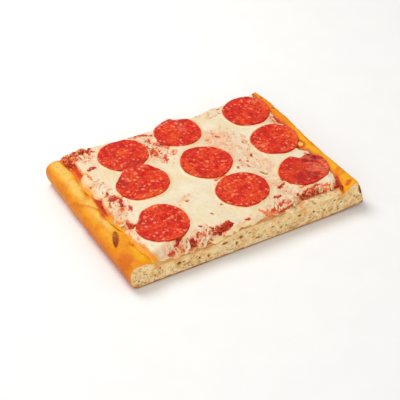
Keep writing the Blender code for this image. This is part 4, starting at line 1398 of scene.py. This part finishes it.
def pepperoni_colour(name, x, y, from_rim, drop, seed):
    blotch, fine = rough(x, y, 8, seed + 20), rough(x, y, 2.4, seed + 21)
    colour = paint(
        (218, 36, 14),
        ((196, 22, 14), 0.75 * smooth(blotch * 2) + 0.4 * smooth(fine * 2)),
        ((234, 74, 22), 0.7 * smooth(-blotch * 1.8) + 0.4 * smooth(-fine * 2)),
        ((170, 16, 14), 0.45 * smooth((rough(x, y, 3.6, seed + 25) - 0.25) * 3)),
    )
    push_x, push_y = warped(x, y, 4, 1.6, seed + 22)
    for kind, cx, cy, half_x, half_y, strength in SLICE_TONES[name]:
        away = np.hypot((push_x - cx) / half_x, (push_y - cy) / half_y)
        colour = paint(colour, (TONES[kind], strength * 0.8 * smooth((1.3 - away) / 0.8)))
    if name == "pepperoni_9":
        # Painted highlights in streaks on pepperoni_9
        highlight_streak = smooth(noise((x + 1.5 * y) / 2.6, (y - 0.2 * x) / 11, 1, seed + 24) * 2.6 - 0.5)
        colour = paint(colour, (PEPPERONI_PAINTED_HIGHLIGHT, 0.55 * highlight_streak * smooth((x - 70) / 12)))
    return paint(
        colour,
        ((196, 44, 10), 0.55 * smooth(1 - from_rim / (1.2 + 0.5 * blotch))),
        # The side wall round the rim: an orange red that is partly its own colour and partly painted light
        # offsetting its shade
        ((216, 74, 22), 0.8 * (smooth((drop - 0.1) / 0.6) + np.zeros_like(x))),
    )


def pepperoni_material():
    nodes = Nodes("pepperoni_look")
    base = nodes.attribute("tint", "Color")
    fine, grain = nodes.noise(1.1, detail=4, roughness=0.65), nodes.noise(3.2, detail=3)
    shade = nodes.times(nodes.ramp(fine, 0.25, 0.75, 0.86, 1.12), nodes.ramp(grain, 0.3, 0.7, 0.93, 1.08))
    toned = nodes.shaded(base, shade)
    fat = nodes.attribute("fat")
    # Flecks of fat, large and small, and darker patches of lean meat between them
    large = nodes.times(nodes.specks(4.0, 2.2, 0.37), nodes.ramp(nodes.noise(9.0, detail=2), 0.36, 0.60))
    large = nodes.times(large, fat)
    small = nodes.times(nodes.specks(2.3, 1.5, 0.42), nodes.ramp(nodes.noise(5.0, detail=2), 0.40, 0.60))
    small = nodes.times(small, nodes.times(fat, 0.9))
    lean = nodes.ramp(nodes.cells(4.6, 1.4, flat=True).outputs["Distance"], 0.10, 0.50, 0.60, 0.0)
    deep = nodes.mix(nodes.times(lean, fat), toned, linear((178, 8, 8)))
    fatty = nodes.mix(nodes.times(small, 0.70), deep, linear((244, 108, 58)))
    coloured = nodes.mix(nodes.times(large, 0.80), fatty, linear((250, 144, 100)))
    roughness = nodes.ramp(grain, 0.3, 0.7, 0.30, 0.44)
    height = nodes.plus(nodes.plus(nodes.times(fine, 0.8), nodes.times(large, 0.7)), grain)
    return nodes.finish(coloured, roughness, height, 0.28, 0.8, 0.16, soft=(0.05, 1.0, 0.4, 0.2))


pepperoni_look = pepperoni_material()
for number, (slice_name, slice_shape) in enumerate(SLICES.items()):
    make_pepperoni(slice_name, slice_shape, pepperoni_look, 200 + 31 * number)


# ---- Small things that lie on the cheese: lumps of sauce, shreds of cheese and flecks of herb ----

LUMP_ROUND, LUMP_ALONG = 12, 9  # points round a lump and along it
PULP_HEAPS = (  # x, y, half width and height of a heap, how many pieces, how high, share of pale pieces
    (-89.8, 69, 3, 8, 46, 2.8, 0.24), (-85.6, 66, 2.6, 4.2, 15, 1.6, 0.40),
    (-83.5, 73.8, 7, 2.8, 38, 3, 0.50),
    (-76, 74.2, 4.5, 2.4, 26, 2.6, 0.5), (-71.5, 73, 2.2, 4, 12, 0.9, 0.35), (-89.8, 59, 2, 3, 10, 0.8, 0.30),
    (-27, -71.9, 8, 1.5, 20, 0.5, 0.05), (-17.5, -71, 5, 2.2, 22, 1.2, 0.05),
    (64, -68.2, 7, 2.4, 34, 0.7, 0.50),
)
SAUCE_LUMPS = (  # tone, x0, y0, x1, y1, width, height
    ("dark", -67.9, 74.2, -67, 73.2, 1.8, 1.6), ("red", -67.4, 70, -66.6, 68.8, 1.8, 1.5),
    ("red", -70.8, 68.8, -70.6, 63.7, 1.4, 0.7),
    ("dark", -25.4, -73, -21.8, -72.6, 1.8, 0.9), ("dark", -19.6, -72, -17.2, -70.4, 2.6, 1.7),
    ("dark", -17, -70, -14.4, -68, 2.4, 1.7), ("red", -28.8, -71, -26.2, -72.6, 2.2, 0.9),
    ("dark", -16.6, -71.6, -13.6, -71.4, 2, 1.1), ("red", 60.6, -68.9, 64.8, -69.4, 3.6, 1.6),
    ("orange", 62.6, -68.2, 65.6, -68.8, 2, 1.6), ("red", 62, -66.2, 69.6, -65, 1.9, 0.9),
    ("dark", 93.9, -60.4, 92, -68.4, 2, 0.9), ("dark", 91.8, -68, 89.2, -75.4, 2.6, 0.8),
    ("dark", -82.2, 2.5, -78, 2, 3, 0.6),
    ("dark", -84.6, -29.6, -84.4, -34.4, 2.8, 1), ("dark", -85.4, -34.8, -80.8, -36.6, 2.8, 1),
    ("dark", 43.8, -51.4, 46.6, -49.8, 2.4, 1.1), ("dark", -50.8, -73.6, -48.8, -74.6, 3.2, 1.2),
    ("dark", -10.8, 49.8, -8.8, 47.4, 3, 1.1), ("red", -7.8, 46.2, -5, 43.8, 2.2, 0.9),
    ("dark", -63.4, -71.4, -61.6, -70, 1.9, 0.9), ("dark", -81, 46.8, -76.4, 46.3, 2, 0.7),
    ("red", -24.4, 71.8, -20.6, 70.6, 2, 1.1), ("red", -19.6, 69.6, -16.2, 66.8, 2.2, 1.1),
    ("dark", 57, -69.2, 59.2, -67, 2.2, 1.1), ("dark", 52.4, -69.4, 54, -71.4, 1.6, 0.9),
    ("red", 28.8, -71.4, 32.2, -69.8, 2.2, 0.8), ("dark", -76.8, -4.2, -78.8, -8.8, 1.9, 0.8),
    ("dark", -91.4, 6.4, -91.6, 0.6, 2.6, 1), ("dark", -0.4, -72.7, 1, -73.1, 2, 0.9),
    ("red", -23.6, 41.4, -22.8, 39, 1.6, 0.8), ("red", -21, 45.4, -23.8, 43.4, 1.6, 0.8),
)
# Each tone's darker and lighter colour: a lump gets painted light on top and painted shade underneath, with
# random variation
LUMP_TONES = {
    "dark": ((152, 30, 14), (214, 72, 42)),
    "red": ((190, 44, 20), (232, 100, 54)),
    "orange": ((222, 96, 36), (248, 156, 84)),
    "cream": ((232, 194, 148), (236, 214, 178)),
    "pink": ((232, 166, 124), (236, 198, 160)),
    "salmon": ((226, 128, 84), (240, 176, 128)),
    "herb": ((120, 74, 30), (168, 112, 50)),
}
SHRED_PLACES = (  # middle x and y, half width and height of the region, how many, direction and its spread
    (-52, -72.5, 20, 3.6, 11, 62, 38), (-34, -69, 7, 4.5, 8, 70, 25), (-84, -12, 6, 18, 13, 105, 60),
    (-82, 20, 6, 12, 8, 95, 70), (-77, 68, 7, 6, 12, 60, 80), (-84.5, 69, 2.5, 6, 5, 80, 40),
    (-19, 50, 6, 18, 14, 75, 60), (46, -46, 6, 16, 9, 80, 70), (74, -67, 15, 3, 7, 20, 40),
    (40, -68, 13, 4, 10, 45, 50), (44, 26, 12, 22, 12, 60, 80), (46, 68, 10, 6, 6, 60, 80),
    (92, 30, 1.5, 8, 4, 90, 20), (-31, -27, 6, 4, 3, 10, 30),
)
HERB_FLECKS = (
    (27.9, -12), (36.9, -13.8), (40.1, -8.2), (43.4, -27.4), (52, 17.6), (57.6, 71), (-8.4, -46.8),
    (-21.1, -52.9), (-89.8, 25.9), (-85, 25.4), (34.2, 73.4), (47, -1.8), (-30.8, -29.8), (55, 65),
)

GROUND_STEP = 0.5
GROUND_X = np.arange(-98, 98, GROUND_STEP)
GROUND_Y = np.arange(FRONT_Y, BACK_Y + GROUND_STEP, GROUND_STEP)


def make_ground():
    """Heights over a grid of what a small thing lies on: the cheese, or the sauce where that stops short."""
    x, y = np.meshgrid(GROUND_X, GROUND_Y)
    inside = np.minimum(x - cheese_edge_left(y), cheese_edge_right(y) - x)
    inside = np.minimum(inside, np.minimum(y - cheese_edge_front(x), cheese_edge_back(x) - y))
    cheese = cheese_level(x, y) + cheese_relief(x, y, thinness(x, y), shred_relief(x, y), sauce_marks(x, y))
    return mix(sauce_top(x, y), cheese, smooth((inside + 0.2) / 1.2))


GROUND = make_ground()


def ground(x, y):
    """The height that a small thing lies at, between the grid's heights."""
    across = np.clip((x - GROUND_X[0]) / GROUND_STEP, 0, len(GROUND_X) - 1.001)
    along = np.clip((y - GROUND_Y[0]) / GROUND_STEP, 0, len(GROUND_Y) - 1.001)
    left, low = across.astype(int), along.astype(int)
    here = mix(GROUND[low, left], GROUND[low, left + 1], across - left)
    above = mix(GROUND[low + 1, left], GROUND[low + 1, left + 1], across - left)
    return mix(here, above, along - low)


def stroke(x, y, half, turn):
    """The two ends of a short line about a place, in this direction."""
    reach_x, reach_y = half * math.cos(turn), half * math.sin(turn)
    return x - reach_x, y - reach_y, x + reach_x, y + reach_y


def lump(ends, width, height, tone, seed, bend=0.0, raised=0.0):
    """A rounded, uneven lump along a short line: its points, four-cornered faces, end faces and colours."""
    rng = np.random.default_rng(seed)
    x0, y0, x1, y1 = ends
    run = np.array([x1 - x0, y1 - y0])
    length = max(np.hypot(*run), 1e-3)
    run_x, run_y = run / length
    turn = np.linspace(0, math.pi, LUMP_ALONG)
    along = (length + 0.8 * width) / 2 * -np.cos(turn)
    thick = (np.sin(turn) ** 0.75 * (1 + 0.30 * rng.uniform(-1, 1, LUMP_ALONG)))[:, None]
    bow = bend * (1 - (along / along[-1]) ** 2) + 0.12 * width * rng.uniform(-1, 1, LUMP_ALONG)
    line_x = (x0 + x1) / 2 + along * run_x + bow * -run_y
    line_y = (y0 + y1) / 2 + along * run_y + bow * run_x
    base = ground(line_x, line_y) - 0.10 * height + raised
    around = np.linspace(0, math.tau, LUMP_ROUND, endpoint=False)
    uneven = 1 + 0.28 * rng.uniform(-1, 1, (LUMP_ALONG, LUMP_ROUND))
    side = thick * width / 2 * np.cos(around) * uneven
    up = thick * height * np.sin(around) * uneven
    y = np.clip(line_y[:, None] + side * run_x, FRONT_Y + 0.1, CAD_HIGH_Y - 0.1)
    z = base[:, None] + np.where(up < 0, up * 0.5, up)
    points = np.stack([line_x[:, None] + side * -run_y, y, z], -1)
    # Each end closes on one point
    tips = np.array([points[0].mean(0), points[-1].mean(0)])
    ring = closed_rows(grid_index(LUMP_ALONG - 2, LUMP_ROUND))
    tip = (LUMP_ALONG - 2) * LUMP_ROUND
    fans = np.concatenate([fan(tip, ring[0, :-1], ring[0, 1:]), fan(tip + 1, ring[-1, 1:], ring[-1, :-1])])
    low, high = (linear(colour) for colour in LUMP_TONES[tone])
    # Painted light and shade: lighter on top and darker underneath, with random variation
    shade = smooth(0.35 + 0.35 * np.sin(around) + 0.5 * rng.uniform(-1, 1, (LUMP_ALONG, LUMP_ROUND)))
    colour = mix(low, high, shade[1:-1, :, None]).reshape(-1, 3)
    points, colour = np.concatenate([points[1:-1].reshape(-1, 3), tips]), np.concatenate([colour, [low, low]])
    return points, quads(ring.T), fans, colour


def pulp_heaps(rng):
    """Chopped pulp heaped up on the sauce: small uneven pieces lying every way."""
    pieces = []
    for cx, cy, half_x, half_y, count, high, pale in PULP_HEAPS:
        for _ in range(count):
            out, direction = math.sqrt(rng.uniform(0, 1)), rng.uniform(0, math.tau)
            x, y = cx + half_x * out * math.cos(direction), cy + half_y * out * math.sin(direction)
            fine = 0.6 if high < 1.4 else 1
            turn, half = rng.uniform(0, math.pi), fine * rng.uniform(0.4, 2)
            width, height = fine * rng.uniform(1.3, 3), fine * rng.uniform(0.8, 1.7)
            kind = rng.uniform(0, 1)
            pale_tone, red_tone = "orange" if kind < 0.6 * pale else "salmon", "dark" if kind < 0.72 else "red"
            raised = (1 - out**2) * high * rng.uniform(0.2, 1)
            bend = 0.4 * rng.uniform(-1, 1)
            tone, seed = pale_tone if kind < pale else red_tone, 1000 + len(pieces)
            pieces.append(lump(stroke(x, y, half, turn), width, height, tone, seed, bend, raised))
    return pieces


def shreds(rng):
    """Short strands of cheese, clear of the pepperoni and of the cuts."""
    pieces = []
    for cx, cy, half_x, half_y, count, direction, spread in SHRED_PLACES:
        for _ in range(count):
            x, y = cx + half_x * rng.uniform(-1, 1), cy + half_y * rng.uniform(-1, 1)
            turn, half = math.radians(direction + spread * rng.uniform(-1, 1)), rng.uniform(1.4, 3.6)
            width, height = rng.uniform(1.7, 3.2), rng.uniform(0.28, 0.60)
            tone = "cream" if rng.uniform() < 0.45 else "pink"
            bend = rng.uniform(-0.9, 0.9)
            ends = stroke(x, y, half, turn)
            clear = min(outside(shape, x, y)[0] for shape in SLICES.values()) >= half * 0.7 + 0.8
            if clear and min(ends[1], ends[3]) >= FRONT_Y + 0.6 and max(ends[1], ends[3]) <= BACK_Y - 0.4:
                pieces.append(lump(ends, width, height, tone, 600 + len(pieces), bend))
    return pieces


def join_lumps(name, lumps, material, slot):
    points, sides, fans, colours = zip(*lumps)
    starts = np.cumsum([0] + [len(part) for part in points])
    faces = [np.concatenate([part + start for part, start in zip(parts, starts)]) for parts in (sides, fans)]
    make_piece(name, np.concatenate(points), faces, np.concatenate(colours), material, slot, (), 80)


def small_thing_material(name, size_mm, low, high, roughness, gloss):
    """Grain over the lumps' colours, which hold painted light and shade, from a darker to a lighter shade."""
    nodes = Nodes(name)
    base = nodes.attribute("tint", "Color")
    grain, broad = nodes.noise(size_mm, detail=4, roughness=0.6), nodes.noise(3 * size_mm, detail=2)
    shade = nodes.times(nodes.ramp(grain, 0.25, 0.75, low, high), nodes.ramp(broad, 0.3, 0.7, 0.92, 1.06))
    toned = nodes.shaded(base, shade)
    height = nodes.plus(grain, nodes.times(broad, 0.8))
    dullness = nodes.ramp(broad, 0.3, 0.7, roughness, roughness + 0.14)
    return nodes.finish(toned, dullness, height, 0.25, 0.8, gloss)


def make_small_things():
    sauce = [
        lump(ends, width, height, tone, 400 + k, 0.12 * width * (-1) ** k)
        for k, (tone, *ends, width, height) in enumerate(SAUCE_LUMPS)
    ]
    sauce += pulp_heaps(np.random.default_rng(302))
    sauce_look = small_thing_material("sauce_lump_look", 0.9, 0.78, 1.14, 0.42, 0.12)
    join_lumps("sauce_lumps", sauce, sauce_look, "tomato_sauce")
    rng = np.random.default_rng(301)
    cheese = shreds(rng)
    shred_look = small_thing_material("shred_look", 0.9, 0.93, 1.04, 0.36, 0.3)
    join_lumps("cheese_shreds", cheese, shred_look, "melted_cheese")
    herbs = []
    for k, (x, y) in enumerate(HERB_FLECKS):
        turn = rng.uniform(0, math.pi)
        herbs.append(lump(stroke(x, y, rng.uniform(0.3, 0.7), turn), 0.75, 0.30, "herb", 800 + k))
    herb_look = small_thing_material("herb_look", 0.5, 0.8, 1.15, 0.55, 0.25)
    join_lumps("herb_flecks", herbs, herb_look, "tomato_sauce")


make_small_things()

# ---- Floor, light and camera ----

FLOOR_REACH = 6.0
CAMERA_PLACE = (-445.57, -775.19, 698.44)
CAMERA_AZIMUTH = math.radians(-29.8104)
CAMERA_ELEVATION = math.radians(38.2266)
LENS = 121.483
SENSOR_WIDTH = 36.0
NEAR, FAR = 0.01, 50.0


def make_floor():
    nodes = Nodes("floor_look")
    speck = nodes.noise(30, detail=4)
    colour = nodes.mix(nodes.ramp(speck, 0.3, 0.7), (0.90, 0.90, 0.895), (0.915, 0.915, 0.91))
    material = nodes.finish(colour, 0.85, nodes.noise(2, detail=3), 0.05, 0.2, None)
    mesh = bpy.data.meshes.new("floor")
    corners = [(x * FLOOR_REACH, y * FLOOR_REACH, 0) for x, y in ((-1, -1), (1, -1), (1, 1), (-1, 1))]
    mesh.from_pydata(corners, [], [(0, 1, 2, 3)])
    mesh.materials.append(material)
    floor = bpy.data.objects.new("floor", mesh)
    bpy.context.scene.collection.objects.link(floor)


def put(name, data, place, direction):
    """A light or a camera at a place in metres, looking this way."""
    thing = bpy.data.objects.new(name, data)
    thing.location = place
    thing.rotation_mode = "QUATERNION"
    thing.rotation_quaternion = direction.to_track_quat("-Z", "Y")
    bpy.context.scene.collection.objects.link(thing)
    return thing


def soft_light(name, place, size, power, colour=(1.0, 1.0, 1.0)):
    """A round lamp that shines at the middle of the object."""
    data = bpy.data.lights.new(name, "AREA")
    data.shape = "DISK"
    data.size = size
    data.energy = power
    data.color = colour
    put(name, data, place, -Vector(place))


def make_camera():
    data = bpy.data.cameras.new("camera")
    data.lens = LENS
    data.sensor_width = SENSOR_WIDTH
    data.clip_start, data.clip_end = NEAR, FAR
    flat = math.cos(CAMERA_ELEVATION)
    azimuth, up = CAMERA_AZIMUTH, math.sin(CAMERA_ELEVATION)
    back = Vector((math.sin(azimuth) * flat, -math.cos(azimuth) * flat, up))
    bpy.context.scene.camera = put("camera", data, [value * MM for value in CAMERA_PLACE], -back)


scene = bpy.context.scene
scene.view_settings.view_transform = "Standard"
world = bpy.data.worlds.new("studio")
world.use_nodes = True
background = world.node_tree.nodes["Background"]
background.inputs["Color"].default_value = (1.0, 0.995, 0.985, 1.0)
background.inputs["Strength"].default_value = 0.52
scene.world = world
make_floor()
soft_light("overhead_softbox", (-0.25, 0.50, 1.05), 0.75, 9.0, (1.0, 0.985, 0.96))
soft_light("front_fill", (-0.75, -1.15, 0.7), 0.9, 5.0)
make_camera()
